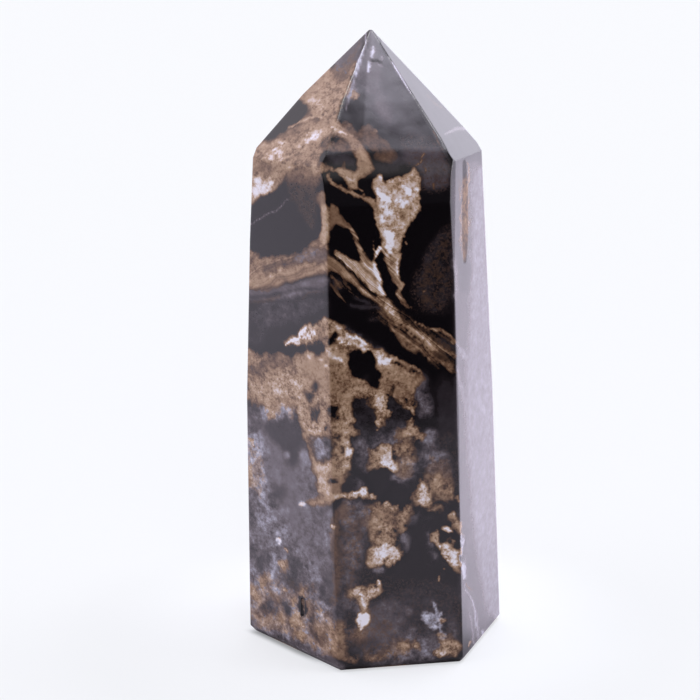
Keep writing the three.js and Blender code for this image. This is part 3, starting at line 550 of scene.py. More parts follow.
# Lines of the warm scale: each has its tone, and points that each have half a width in pixels
WARM_LINES = (
    (0.54, "350,228,1.5 354,235,2.5 358,243,2.8 361,251,2.8 364,258,3 368,264,3"),
    (0.5, "327,174,1.2 328,179,1.6 332,184,1.8 338,188,1.6"),
    (0.54, "330,184,1 336,187,1.5 343,190,2 350,194,2 356,196,2 362,197,2 368,199,2.5 373,203,2.5 "
        "376,210,2"),
    (0.4, "340,216,1.2 345,222,1.5 350,228,1.5"),
    (0.5, "400,288,1.8 398,294,2.4 401,300,2.4 406,305,1.8 413,309,1"),
    (0.44, "419,323,1 428,327,1.6 437,330,1.8 444,333,1.8 449,337,1.8 454,343,1.8"),
    (0.6, "388,358,1.5 397,360,1.4 404,363,1.3 412,367,1.3 419,371,1"),
    (0.4, "340,345,1.5 350,352,1"),
    (0.55, "413,168,1.2 417,165,0.9 421,161,0.9 424,155,0.8"),
    (0.5, "424,168,0.8 426,171,1.2"),
    (0.4, "434,184,1.4 434,188,1.2"),
    (0.44, "434,130,0.7 438,140,0.8 441,148,0.8"),
    (0.5, "456,494,1.2 458,500,1.4"),
    (0.62, "469,646,1.4 471,642,1.2"),
    (0.5, "466,583,0.7 470,590,0.7 474,590,0.5"),
    (0.5, "356,588,1.5 358,588,1.5"),
    (0.62, "366,600,1.2 368,605,1.4"),
    (0.6, "357,588,1.2 358,589,1.2"),
    (0.46, "468,163,1 468.5,180,1.2 468,200,0.7 468,235,0.5"),
    (0.42, "461,186,0.5 460.5,225,0.7 461.5,250,0.6"),
    (0.3, "427,94,0.6 436,104,0.8 446,113,0.6"),
    (0.12, "400,323,0.7 405,328,1 416,339,0.8 422,344,0.6 426,348,0.4"),
    (0.3, "384,305,0.5 390,309,0.6 396,316,0.5"),
    (0.3, "404,340,0.5 412,345,0.6 420,349,0.5"),
    (0.42, "435,346,1.4 441,348.5,1.2 446,350,1.2 450,353,1.2 455,356,1.4"),
    (0.1, "390,363,0.8 396,364.5,1 402,366.5,1 406,369,0.6"),
    (0.12, "410,369,0.6 414,371,0.8 418,373,0.6"),
    (0.62, "384,357,1 392,358,1 400,361,1 407,365,0.9 414,368,0.8 420,373,0.6"),
    (0.44, "256,160,0.6 266,152,0.8 276,146,0.8 290,142,0.6"),
    (0.44, "262,176,0.6 276,166,0.9 290,160,0.9 302,154,0.6"),
    (0.48, "286,156,0.6 296,152,0.9 306,146,0.9 316,142,0.6"),
    (0.4, "254,176,0.7 262,170,0.9 272,165,0.6"),
    (0.44, "322,92,0.6 330,98,0.8 334,108,0.8 330,118,0.6"),
    (0.72, "288,128,0.8 300,122,1 312,118,1 324,116,0.8"),
    (0.7, "252,168,0.6 264,158,0.9 274,152,0.6"),
    (0.66, "284,170,0.6 298,164,0.8 306,168,0.6"),
    (0.32, "331,275,1.6 340,284,2.4 352,292,1.8 362,300,1"),
    (0.28, "329,283,1.4 338,293,2 346,303,1.2"),
    (0.92, "331,129,1 337,130,1.2 342,132,1.2 346,135,0.8"),
    (0.9, "376,188,1.5 380,194,2.2 385,198,3.6 390,201,2.4"),
    (0.94, "402,187,1.8 406,190,2.7 409,195,1.8"),
    (0.88, "412,187,1.5 418,189,1.5"),
    (0.86, "397,201,2.1 401,199,2.1 405,201,1.8 402,206,1.5"),
    (0.84, "383,208,2.4 387,213,2.7 384,219,2.1"),
    (0.9, "387,232,2.4 390,238,3.3 390,246,3 389,252,2.1"),
    (0.82, "380,176,1.5 382,178,1.5"),
    (0.84, "383,247,1.8 379,250,2.2 376,254,2.1 375,258,1.5"),
    (0.5, "374,240,0.5 374,250,0.7 374,262,0.7"),
    (0.94, "374,264,1.4 377,272,2 378,280,2 380,288,1.8 384,295,1.2"),
    (0.8, "397,262,1 398,270,1.4 399,276,1"),
    (0.86, "340,340,1.6 344,342,1.8 350,345,1"),
    (0.86, "346,334,1.2 352,337,1.4 358,339,1.4 364,342,1.2"),
    (0.86, "357,346,1 361,349,1.2 366,350,0.8"),
    (0.94, "379,361,1.4 385,361,1.4"),
    (0.84, "334,358,1.2 342,359,1.2 347,363,0.8"),
    (0.66, "376,423,1 379,428,1.2 381,431,0.8"),
    (0.62, "386,398,1.2 387,406,1.5 386,416,1.5 383,421,1.2"),
    (0.6, "394,395,1.2 397,397,1.2"),
    (0.7, "408,405,1.4 410,407,1.2"),
    (0.55, "352,186,0.5 358,188,0.7 363,191,0.6 367,196,0.5"),
    (0.6, "402,235,0.9 405,237,1.2"),
    (0.55, "405,242,1.2 406,244,0.9"),
    (0.66, "423,293,0.7 424,293,0.7"),
    (0.6, "374,130,0.8 377,131,0.9"),
    (0.96, "288,343,2 293,341,3.2 297,341,3.2 299,344,2"),
    (0.97, "298,335,2.4 302,331,3.6 306,331,3.2"),
    (0.93, "302,339,1.5 307,338,2"),
    (0.84, "311,336,1.5 314,333,1.2"),
    (0.97, "279,541,2 280,543,1.6"),
    (0.74, "288,548,1.2 289,551,1"),
    (0.9, "283,587,1 285,588,1.4"),
    (0.86, "286,628,1.2 287,631,1"),
    (0.8, "293,626,1 295,629,1"),
    (0.84, "302,626,1.2 304,627,1"),
    (0.84, "320,610,1 321,611,1"),
    (0.84, "332,526,1.2 333,528,0.8"),
    (0.86, "253,441,1.6 254,444,1.2"),
    (0.86, "375,551,1.2 378,557,1.6"),
    (0.86, "384,550,1.2 386,554,1.4"),
    (0.82, "434,545,1.4 438,545,1.2"),
    (0.8, "455,553,1.2 458,555,1"),
    (0.84, "380,583,1.4 382,585,1"),
    (0.84, "361,595,1.6 363,597,1.2"),
    (0.72, "440,576,0.8 441,580,0.8"),
    (0.6, "444,568,0.8 445,572,0.8"),
    (1, "301,503,1.5 301.5,504,1.5"),
    (1, "279,542,1.6 279.6,543.6,1.6"),
)

# Lines of lilac and grey, in the same form
GREY_LINES = (
    (0.1, "371,60,0.5 376,59,0.6 380,62,0.6 382,62,0.5"),
    (0.58, "455,342,1.6 460,349,2 466,358,2.6 472,366,2"),
    (0.54, "457,365,1.4 461,385,2 464,400,2 474,445,1.4"),
    (0.66, "476,385,1.4 480,400,2.6 485,415,1.4"),
    (0.6, "470,410,1.4 474,430,3 476,450,1.4"),
    # A painted highlight: the glint along the edge between the front and the right side
    (0.78, "461,536,1.6 462.5,548,2.4 463,560,2.4 464,578,1.4"),
    (0.68, "464,583,0.4 470,597,0.6 474,606,1.3 476,618,1.4 477,632,0.6 480,648,0.4"),
    (0.78, "483,632,1.6 484,637,1.6"),
    (0.62, "469,612,0.4 472,626,0.7 474,646,0.6"),
    (0.6, "477,620,0.5 480,640,0.5"),
    (0.5, "454,260,1.4 456,275,1.6 456,300,1.2"),
    (1, "301.6,502.4,2.2 301.9,504.4,2.4"),
    (0.6, "251,226,0.6 258,221,0.8 268,214,0.8 276,211,0.8 282,205,0.8 289,199,0.6"),
    (1, "279,541.5,2.6 279.6,544,2.6"),
    (0.9, "357,618,3.5 362,620,6 366,620,4.5"),
    (0.82, "434.5,602,1 435.5,608,1.8 438,613,1.8 438,618,1"),
    (0.84, "424,615,2 430,613,1.8 436,612,1.6"),
    (0.84, "424,617,2.4 427,624,2.6 431,628,1.4"),
    (0.86, "428,628,1.4 434,625,1.8 439,621,2"),
    (0.8, "439,622,1.6 440,630,3 443,637,2.4 446,641,1.2"),
    (0.72, "438,620,1.6 443,621,1.4 446,620,1"),
    (0.4, "254,293,0.6 275,289,1 300,285,0.6"),
    (0.38, "256,301,0.6 280,297,1 298,297,0.6"),
    (0.42, "284,292,0.6 305,291,1 318,290,0.5"),
    (0.38, "252,312,0.6 262,306,0.9 276,304,0.5"),
)

# Painted highlights along the point's edges and on the arc of its right side, with the light specks and
# the dark crack beside them. No noise bends these, so they run straight.
RIDGE_HIGHLIGHTS_AND_CRACK = (
    (0.92, "366,44,0.6 362,54,1.6 358,65,2.2 354.5,77,1.4"),
    (0.7, "354.5,77,1.2 351.5,90,1.4 348,102,1 346,110,0.6"),
    (1, "373.5,46,0.6 373,51,1.8 371.5,57,1.2"),
    (1, "369.8,61,0.9 369,66,2 368.2,72,0.8"),
    (0.7, "382,56,1 382,59,1.2"),
    (0.66, "378,64,1 381,66,1"),
    (0, "371,60.5,0.7 374,61.2,0.9 377,60.4,0.8 381,62.4,0.8"),
    (0.95, "392,62,0.7 401,77,1.1 411,94,0.7"),
    (0.55, "446,134,1.6 456,129,2.2 466,128,2.2 473,132,1.4"),
)

# Places that are worn or weathered dull: how dull each is, half the width of its edge, outline
DULL_PLACES = {
    "front shoulder": (0.3, 9, "325,140 452,140 452,170 325,170"),
}

# Narrow dull places, as lines in the same form as those above
DULL_LINES = (
    (0.9, "464.5,162,2 465,180,2.5 465,205,3 465,240,3 465,262,1.5"),
    (0.25, "367,44,1.5 361,58,2 355,76,1.5"),
    (0.2, "370,42,0.8 370.5,72,0.8"),
    (0.2, "391,60,1.2 401,77,1.6 412,96,1.2"),
    (0.8, "371,60.5,0.8 374,61.2,1 377,60.4,0.9 381,62.4,0.9"),
    (0.6, "352,84,1 345,100,1 338,120,1"),
    (0.6, "374,34,0.8 388,56,1"),
    (0.6, "415,100,1 432,130,1 450,160,1"),
)

# The camera, as fitted to the stone's edges in a 700 by 700 picture
PICTURE_WIDTH = 700
CAMERA_PLACE_MM = (-42.82, -262.69, 105.68)
CAMERA_HEADING = 8.54
CAMERA_PITCH = 13.19
CAMERA_ROLL = -0.87
FOCAL_PIXELS = 1848.5
SENSOR_MM = 36.0
NEAREST_SEEN_MM = 10.0
FARTHEST_SEEN_MM = 40000.0


def camera_axes():
    """The directions to the picture's right and top, and the way the camera looks."""
    heading = math.radians(CAMERA_HEADING)
    pitch = math.radians(CAMERA_PITCH)
    roll = math.radians(CAMERA_ROLL)
    ahead = Vector((math.sin(heading) * math.cos(pitch),
                    math.cos(heading) * math.cos(pitch),
                    -math.sin(pitch)))
    level = ahead.cross(Vector((0, 0, 1))).normalized()
    upright = level.cross(ahead)
    right = math.cos(roll) * level + math.sin(roll) * upright
    top = math.cos(roll) * upright - math.sin(roll) * level
    return right, top, ahead


def add_camera():
    right, top, ahead = camera_axes()
    data = bpy.data.cameras.new("camera")
    data.sensor_width = SENSOR_MM
    data.lens = FOCAL_PIXELS / PICTURE_WIDTH * SENSOR_MM
    data.clip_start = NEAREST_SEEN_MM * MM
    data.clip_end = FARTHEST_SEEN_MM * MM
    camera = bpy.data.objects.new("camera", data)
    turn = Matrix((right, top, -ahead)).transposed().to_4x4()
    camera.matrix_world = Matrix.Translation(Vector(CAMERA_PLACE_MM) * MM) @ turn
    bpy.context.scene.collection.objects.link(camera)
    bpy.context.scene.camera = camera


def to_picture(points_mm):
    """Where points of the stone lie in the picture, in pixels."""
    right, top, ahead = (np.array(axis) for axis in camera_axes())
    away = points_mm - np.array(CAMERA_PLACE_MM)
    depth = away @ ahead
    middle = PICTURE_WIDTH / 2
    across = middle + FOCAL_PIXELS * (away @ right) / depth
    down = middle - FOCAL_PIXELS * (away @ top) / depth
    return np.stack([across, down], axis=1)


def direction(azimuth, elevation):
    """The direction with this azimuth, from +X towards +Y, and height above the horizon."""
    turn, rise = math.radians(azimuth), math.radians(elevation)
    return (math.cos(turn) * math.cos(rise), math.sin(turn) * math.cos(rise), math.sin(rise))


# Where a mix node keeps its share and its two colours, and where it gives the mixed colour
MIX_INPUTS = (0, 6, 7)
MIX_OUTPUT = 2


class Graph:
    """Short calls that add nodes to the node tree of a material or a world."""

    def __init__(self, owner):
        owner.use_nodes = True
        self.tree = owner.node_tree
        self.tree.nodes.clear()

    def add(self, kind, inputs=None, **settings):
        node = self.tree.nodes.new(kind)
        for name, value in settings.items():
            setattr(node, name, value)
        for name, value in (inputs or {}).items():
            self.feed(node.inputs[name], value)
        return node

    def feed(self, socket, value):
        if isinstance(value, bpy.types.NodeSocket):
            self.tree.links.new(value, socket)
        else:
            socket.default_value = value

    def finish(self, kind, surface):
        out = self.add(kind)
        self.feed(out.inputs["Surface"], surface.outputs[0])

    def math(self, operation, first, second=0.0):
        node = self.add("ShaderNodeMath", operation=operation)
        self.feed(node.inputs[0], first)
        self.feed(node.inputs[1], second)
        return node.outputs[0]

    def plus(self, first, second):
        return self.math("ADD", first, second)

    def minus(self, first, second):
        return self.math("SUBTRACT", first, second)

    def times(self, first, second):
        return self.math("MULTIPLY", first, second)

    def blend(self, *parts):
        """The sum of values, each times its own weight."""
        total = self.times(*parts[0])
        for part in parts[1:]:
            total = self.plus(total, self.times(*part))
        return total

    def vector(self, operation, first, second=(0.0, 0.0, 0.0)):
        node = self.add("ShaderNodeVectorMath", operation=operation)
        self.feed(node.inputs[0], first)
        self.feed(node.inputs[1], second)
        wanted = "Value" if operation in ("DOT_PRODUCT", "LENGTH") else "Vector"
        return node.outputs[wanted]

    def angle_to(self, ray, azimuth, elevation=0.0):
        """The angle, in radians, between a ray and a direction that is given in degrees."""
        facing = self.vector("DOT_PRODUCT", ray, direction(azimuth, elevation))
        return self.math("ARCCOSINE", facing)

    def step(self, value, low, high, from_value=0.0, to_value=1.0):
        """A soft step from one value to another as the input goes from low to high."""
        node = self.add("ShaderNodeMapRange", interpolation_type="SMOOTHSTEP")
        for name, item in (("Value", value), ("From Min", low), ("From Max", high),
                           ("To Min", from_value), ("To Max", to_value)):
            self.feed(node.inputs[name], item)
        return node.outputs[0]

    def patch(self, angle, inner, outer, strength):
        """A soft round patch: full within an inner angle, in degrees, and gone at an outer one."""
        return self.step(angle, math.radians(inner), math.radians(outer), strength, 0.0)

    def mix(self, share, first, second, blend="MIX"):
        node = self.add("ShaderNodeMix", data_type="RGBA", blend_type=blend)
        for index, value in zip(MIX_INPUTS, (share, first, second)):
            self.feed(node.inputs[index], value)
        return node.outputs[MIX_OUTPUT]

    def mark(self, name):
        """A value that was worked out for every point of the mesh."""
        return self.add("ShaderNodeAttribute", attribute_name=name).outputs["Fac"]

    def by_mark(self, name, plain, more):
        """A plain value, and so much more where the mark is full."""
        return self.plus(self.times(self.mark(name), more), plain)

    def cloudy(self, detail, rough, inputs, **settings):
        """Cloudy noise about nought, mostly within a half to either side."""
        node = self.add("ShaderNodeTexNoise", {"Detail": detail, "Roughness": rough, **inputs},
                        **settings)
        return self.times(self.minus(node.outputs["Fac"], 0.5), 2.0)

    def grain(self, place, scale, detail, rough=0.55):
        return self.cloudy(detail, rough, {"Vector": place, "Scale": scale})


# Soft patches of light around the stone: where each is, its inner and outer radius in degrees,
# how bright it is beside a white wall, the share of that which falls on dull surfaces, and its
# tint
LIGHT_PATCHES = (
    ("backdrop on the right", 42, 8, 28, 65, 2.5, 1.0, (0.98, 0.95, 1.09)),
    ("side light on the right", -8, 8, 10, 32, 2.6, 1.0, (1.0, 0.97, 1.03)),
    ("backdrop on the left", 148, 22, 35, 75, 1.4, 1.0, (1.0, 0.94, 1.04)),
    ("overhead softbox", -3, 78.6, 16, 21, 8.3, 0.45, (0.98, 0.94, 1.10)),
    ("front fill", -92, 34, 8, 26, 0.9, 2.0, (1.0, 0.97, 0.98)),
    ("left bulb of the softbox", -125, 79, 2.5, 6, 26.0, 0.4, (1.0, 1.0, 1.0)),
    ("right bulb of the softbox", -22, 65, 2.0, 5.5, 26.0, 0.4, (1.0, 1.0, 1.0)),
)
AMBIENT = (0.05, 0.046, 0.056, 1.0)
BACKGROUND = (0.975, 0.985, 1.0, 1.0)


def light_the_world():
    world = bpy.data.worlds.new("studio")
    bpy.context.scene.world = world
    graph = Graph(world)
    ray = graph.add("ShaderNodeTexCoord").outputs["Generated"]
    path = graph.add("ShaderNodeLightPath")
    total = AMBIENT
    for _, azimuth, elevation, inner, outer, strength, dull, tint in LIGHT_PATCHES:
        share = graph.patch(graph.angle_to(ray, azimuth, elevation), inner, outer, strength)
        polished = graph.plus(graph.times(path.outputs["Is Glossy Ray"], 1.0 - dull), dull)
        glow = graph.mix(1.0, graph.times(share, polished), (*tint, 1.0), "MULTIPLY")
        total = graph.mix(1.0, total, glow, "ADD")
    colour = graph.mix(path.outputs["Is Camera Ray"], total, BACKGROUND)
    graph.finish("ShaderNodeOutputWorld", graph.add("ShaderNodeBackground", {"Color": colour}))


FLOOR_REACH_MM = 12000.0
FLOOR_DROP_MM = 0.02

# The floor's colour beside the stone, a hand away and far away. It is lighter beside the stone:
# painted light that lifts the stone's shade on the floor there.
FLOOR_COLOURS = ((0.365, 0.385, 0.375, 1.0), (0.27, 0.285, 0.27, 1.0), (0.27, 0.285, 0.265, 1.0))
FLOOR_STEPS_MM = ((14.0, 46.0), (60.0, 420.0))
FLOOR_GLOW = (0.56, 0.565, 0.585, 1.0)

# What the polish mirrors of the floor: a plain tone, brighter by so much towards some azimuths,
# each with an inner and an outer angle, beyond the stone's own shade
MIRRORED_FLOOR = (0.59, 0.577, 0.612, 1.0)
BRIGHT_SECTORS = (
    ("right front", -10, 6, 34, 1.8),
    ("right back", 45, 22, 50, 1.15),
    ("left", 160, 20, 60, 0.35),
)
BEYOND_SHADE_MM = (-35.0, 80.0)

# In front, around this azimuth, the lit floor ends this far out
DARK_FRONT = (-80.0, 25.0, 55.0)
FRONT_ENDS_MM = (-150.0, -225.0)

# The shade beside the left front foot: which way that side faces, how far out its foot stands,
# how far the shade reaches and how deep it is, and where it fades to the front, to the back, to
# the side and away from the stone's middle
SHADE_FACING = -149.3
SHADE_FROM_MM = 15.3
SHADE_REACH_MM = 1.5
SHADE_DEPTH = 0.5
SHADE_FRONT_MM = (-14.5, -8.5)
SHADE_BACK_MM = (2.5, 0.0)
SHADE_SIDE_MM = (-4.0, -7.0)
SHADE_END_MM = (22.5, 19.0)


def floor_paint(graph, away):
    # Lighter beside the stone, as painted light over the stone's shade
    paint = FLOOR_COLOURS[0]
    for (near, far), colour in zip(FLOOR_STEPS_MM, FLOOR_COLOURS[1:]):
        paint = graph.mix(graph.step(away, near * MM, far * MM), paint, colour)
    return paint


def mirrored_floor(graph, place, away, along_y):
    """The floor's colour as the polished stone mirrors it."""
    toward = graph.vector("NORMALIZE", place)
    near, far = BEYOND_SHADE_MM
    out_there = graph.step(away, near * MM, far * MM)
    bright = 1.0
    for _, azimuth, inner, outer, extra in BRIGHT_SECTORS:
        share = graph.patch(graph.angle_to(toward, azimuth), inner, outer, extra)
        bright = graph.plus(bright, graph.times(share, out_there))
    azimuth, inner, outer = DARK_FRONT
    in_front = graph.patch(graph.angle_to(toward, azimuth), inner, outer, 1.0)
    start, end = FRONT_ENDS_MM
    unlit = graph.step(along_y, start * MM, end * MM)
    lit = graph.minus(1.0, graph.times(unlit, in_front))
    return graph.mix(1.0, MIRRORED_FLOOR, graph.times(lit, bright), "MULTIPLY")


def light_beside_foot(graph, place, away, along):
    """The share of light that the shade beside the left front foot leaves on the floor."""
    outside = graph.minus(graph.vector("DOT_PRODUCT", place, direction(SHADE_FACING, 0)),
                          SHADE_FROM_MM * MM)
    shade = graph.step(outside, 0.0, SHADE_REACH_MM * MM, SHADE_DEPTH, 0.0)
    for value, (clear, full) in ((along["Y"], SHADE_FRONT_MM), (along["Y"], SHADE_BACK_MM),
                                 (along["X"], SHADE_SIDE_MM), (away, SHADE_END_MM)):
        shade = graph.times(shade, graph.step(value, clear * MM, full * MM))
    return graph.minus(1.0, shade)


def pale_floor():
    material = bpy.data.materials.new("pale_floor")
    graph = Graph(material)
    place = graph.add("ShaderNodeNewGeometry").outputs["Position"]
    away = graph.vector("LENGTH", place)
    along = graph.add("ShaderNodeSeparateXYZ", {"Vector": place}).outputs
    glossy = graph.add("ShaderNodeLightPath").outputs["Is Glossy Ray"]
    mirrored = mirrored_floor(graph, place, away, along["Y"])
    light = light_beside_foot(graph, place, away, along)
    colour = graph.mix(glossy, floor_paint(graph, away), mirrored)
    colour = graph.mix(1.0, colour, light, "MULTIPLY")
    strength = graph.times(graph.minus(1.0, glossy), light)
    both = graph.add("ShaderNodeAddShader")
    diffuse = graph.add("ShaderNodeBsdfDiffuse", {"Color": colour})
    glow = graph.add("ShaderNodeEmission", {"Color": FLOOR_GLOW, "Strength": strength})
    graph.feed(both.inputs[0], diffuse.outputs[0])
    graph.feed(both.inputs[1], glow.outputs[0])
    graph.finish("ShaderNodeOutputMaterial", both)
    material.cycles.emission_sampling = "NONE"
    return material


def add_floor():
    mesh = bpy.data.meshes.new("floor")
    reach = FLOOR_REACH_MM * MM
    height = -FLOOR_DROP_MM * MM
    corners = [(-reach, -reach, height), (reach, -reach, height),
               (reach, reach, height), (-reach, reach, height)]
    mesh.from_pydata(corners, [], [(0, 1, 2, 3)])
    mesh.materials.append(pale_floor())
    floor = bpy.data.objects.new("floor", mesh)
    bpy.context.scene.collection.objects.link(floor)


# The picture's scale at the stone, how far out an outline is worked out, and how many half edges
# out a soft patch is
PIXELS_PER_MM = 7.0
FAR_MM = 1.5
PATCH_MARGIN = 3.0
TINY = 1e-9


def read_points(text):
    return np.array([[float(value) for value in point.split(",")] for point in text.split()])


def rounded(outline):
    """Cuts every corner of an outline once, at a quarter of its edges."""
    ahead = np.roll(outline, -1, axis=0)
    return np.stack([0.75 * outline + 0.25 * ahead, 0.25 * outline + 0.75 * ahead],
                    axis=1).reshape(-1, 2)


def away_from_edges(starts, ends, spots):
    """How far each spot is from each edge, and how far along the edge the near place is."""
    edge = ends - starts
    length = np.maximum((edge ** 2).sum(axis=1), TINY)
    offset = spots[:, None, :] - starts[None]
    along = np.clip((offset * edge).sum(axis=2) / length, 0.0, 1.0)
    gap = offset - along[:, :, None] * edge
    return np.sqrt((gap ** 2).sum(axis=2)), along


def depth_inside(outline, spots):
    """How far inside an outline each spot lies, below nought where it lies outside."""
    ends = np.roll(outline, -1, axis=0)
    distance, _ = away_from_edges(outline, ends, spots)
    x, y = spots[:, 0, None], spots[:, 1, None]
    crosses = (outline[:, 1] > y) != (ends[:, 1] > y)
    rise = np.where(ends[:, 1] == outline[:, 1], TINY, ends[:, 1] - outline[:, 1])
    meets = outline[:, 0] + (y - outline[:, 1]) * (ends[:, 0] - outline[:, 0]) / rise
    inside = (crosses & (x < meets)).sum(axis=1) % 2 == 1
    return np.where(inside, 1.0, -1.0) * distance.min(axis=1)


def depth_in_line(points, spots):
    """How far inside a line of changing width each spot lies, below nought outside."""
    distance, along = away_from_edges(points[:-1, :2], points[1:, :2], spots)
    half = points[:-1, 2] + along * (points[1:, 2] - points[:-1, 2])
    return (half - distance).max(axis=1)


def spots_near(points, spots, far):
    over = spots > points[:, :2].min(axis=0) - far
    under = spots < points[:, :2].max(axis=0) + far
    return (over & under).all(axis=1)


def smooth_share(value, low, high):
    share = np.clip((value - low) / (high - low), 0.0, 1.0)
    return share * share * (3.0 - 2.0 * share)


def laid_on(under, tone, share):
    return under + share * (tone - under)


def depths_in(outlines, spots):
    """Each outline's own number, the spots near it and how deep they lie in it, in millimetres."""
    for number, text in outlines.values():
        outline = rounded(read_points(text))
        near = spots_near(outline, spots, FAR_MM * PIXELS_PER_MM)
        yield number, near, depth_inside(outline, spots[near]) / PIXELS_PER_MM


def reach_of(outlines, spots):
    """How deep each spot lies in the nearest outline of a layer, in millimetres."""
    reach = np.full(len(spots), -FAR_MM)
    for limit, near, depth in depths_in(outlines, spots):
        reach[near] = np.maximum(reach[near], np.minimum(depth, limit))
    return reach


def reach_of_strands(strands, spots):
    reach = np.full(len(spots), -FAR_MM)
    for text in strands:
        points = read_points(text)
        near = spots_near(points, spots, FAR_MM * PIXELS_PER_MM)
        depth = depth_in_line(points, spots[near]) / PIXELS_PER_MM
        reach[near] = np.maximum(reach[near], depth)
    return reach


def share_of(outlines, spots):
    """How strongly a layer holds at each spot, from nought to its outline's own number."""
    share = np.zeros(len(spots))
    for most, near, depth in depths_in(outlines, spots):
        share[near] = np.maximum(share[near], most * np.clip(0.5 + depth / FAR_MM, 0.0, 1.0))
    return share


def patches_over(patches, under, spots, widened):
    """Lays on soft patches, each of its own tone, with edges that the mottle widens."""
    for tone, edge, text in patches.values():
        outline = rounded(read_points(text))
        near = spots_near(outline, spots, PATCH_MARGIN * edge)
        half = edge * widened[near]
        share = smooth_share(depth_inside(outline, spots[near]), -half, half)
        under[near] = laid_on(under[near], tone, share)
    return under


def lines_over(lines, under, spots, seen):
    """Lays on lines of changing width, each of its own tone, where the photograph shows them."""
    for tone, text in lines:
        points = read_points(text)
        near = spots_near(points, spots, FAR_MM * PIXELS_PER_MM)
        share = smooth_share(depth_in_line(points, spots[near]), -LINE_EDGE, LINE_EDGE)
        under[near] = laid_on(under[near], tone, share * seen[near])
    return under


# The noise: how far it is shifted for each seed, then its dimension, the step from one octave to
# the next and the number of octaves
SHIFT_BY_SEED = (17.3, 5.1, 11.7)
FRACTAL = (1.0, 2.0, 3)


def drift(points_mm, size_mm, seed):
    """Slow noise about nought at each point, one value for each seed."""
    shift = Vector([seed * step for step in SHIFT_BY_SEED])
    scaled = points_mm / size_mm
    return np.array([noise.fractal(Vector(row) + shift, *FRACTAL) for row in scaled.tolist()])


# Behind the stone's middle the far side begins, and further back it is full. Lines fade out
# faster than the other markings.
HIDDEN_START_MM = 0.5
HIDDEN_FULL_MM = 13.0
LINES_FADE = 4.0

# The places that lend the far side their markings drift about by so much, in noise of this size
# and seed
LENDING_HEIGHTS_MM = (0.5, 88.0)
SIDEWAYS_DRIFT_MM, SIDEWAYS_NOISE = 8.4, (16.0, 1)
UPWARD_DRIFT_MM, UPWARD_NOISE = 17.5, (19.0, 2)

# The far side's own pattern covers this much of the lent one there, and all of the foot's
OWN_PATTERN = 0.75
FOOT_MM = 0.2
OWN_SPECKLE, OWN_MOTTLE, OWN_LAYERS = 0.3, 0.4, 0.3

# That pattern on each scale: the size and seed of its noise, its middle tone, how far its own
# noise and the shared noise swing it, and its highest tone
OWN_SCALES = (
    ("warm", 10.0, 10, 0.22, 0.9, 0.4, 0.8),
    ("grey", 12.0, 11, 0.24, 0.4, 0.3, 0.75),
)
SHARED_NOISE = (11.0, 3)


def folded(points_mm):
    """The place on the seen side that lends its markings to each point of the far side."""
    behind = smooth_share(points_mm[:, 1], HIDDEN_START_MM, HIDDEN_FULL_MM)
    source = points_mm.copy()
    far = behind > 0
    hidden = points_mm[far]
    source[far, 0] += behind[far] * SIDEWAYS_DRIFT_MM * drift(hidden, *SIDEWAYS_NOISE)
    source[far, 2] += behind[far] * UPWARD_DRIFT_MM * drift(hidden, *UPWARD_NOISE)
    source[:, 1] = -np.abs(source[:, 1])
    source[:, 2] = np.clip(source[:, 2], *LENDING_HEIGHTS_MM)
    return source, behind


def own_pattern(points_mm):
    """The warm and the grey tones of a free pattern in the stone's colours."""
    shared = drift(points_mm, *SHARED_NOISE)
    return [np.clip(middle + swing * drift(points_mm, size, seed) + shared_swing * shared,
                    0.0, most)
            for _, size, seed, middle, swing, shared_swing, most in OWN_SCALES]


# How far the markings' outlines are moved, by noise of which size, and with which seeds across
# and down the picture. Where they are mottled they move further and their edges are wider.
WARPS = (
    (0.4, 2.4, (20, 21)),
    (0.28, 0.9, (22, 23)),
)
WARP_UNMOTTLED = 0.5
WARP_BY_MOTTLE = 1.6
WIDENED_BY_MOTTLE = 1.5


def warped(spots, points_mm, mottle):
    """The spots in the picture, moved about by the noise that frays the outlines."""
    moved = spots.copy()
    for most_mm, size_mm, seeds in WARPS:
        swing = most_mm * PIXELS_PER_MM * (WARP_UNMOTTLED + WARP_BY_MOTTLE * mottle)
        for axis, seed in enumerate(seeds):
            moved[:, axis] += swing * drift(points_mm, size_mm, seed)
    return moved


# The tone that each kind of marking has on the warm scale or on the grey one, and half the
# width of its edge in millimetres
BROWN_TONE, BROWN_EDGE = 0.36, 0.35
TAN_TONE, TAN_EDGE = 0.60, 0.30
CREAM_TONE, CREAM_EDGE = 0.88, 0.28
CHARCOAL_TONE, CHARCOAL_EDGE = 0.26, 0.6
MAUVE_TONE, MAUVE_EDGE = 0.44, 0.5
LILAC_TONE, LILAC_EDGE = 0.66, 0.6
HOLE_TONE, HOLE_EDGE = 0.04, 0.4
SPECKLE_EDGE = 0.4
LILAC_OVER_WARM = 0.8

# Half the width of a line's edge, in pixels
LINE_EDGE = 0.9

# The front, right of its corner with the left front, lies in another light: from each height in
# the picture to the next, its warm tones are lighter by this share, or darker
FRONT_CORNER_MM = -9.15
FRONT_LIFT = ((150, 0.0), (190, 0.1), (350, 0.08), (380, -0.08), (430, -0.08), (460, 0.1))


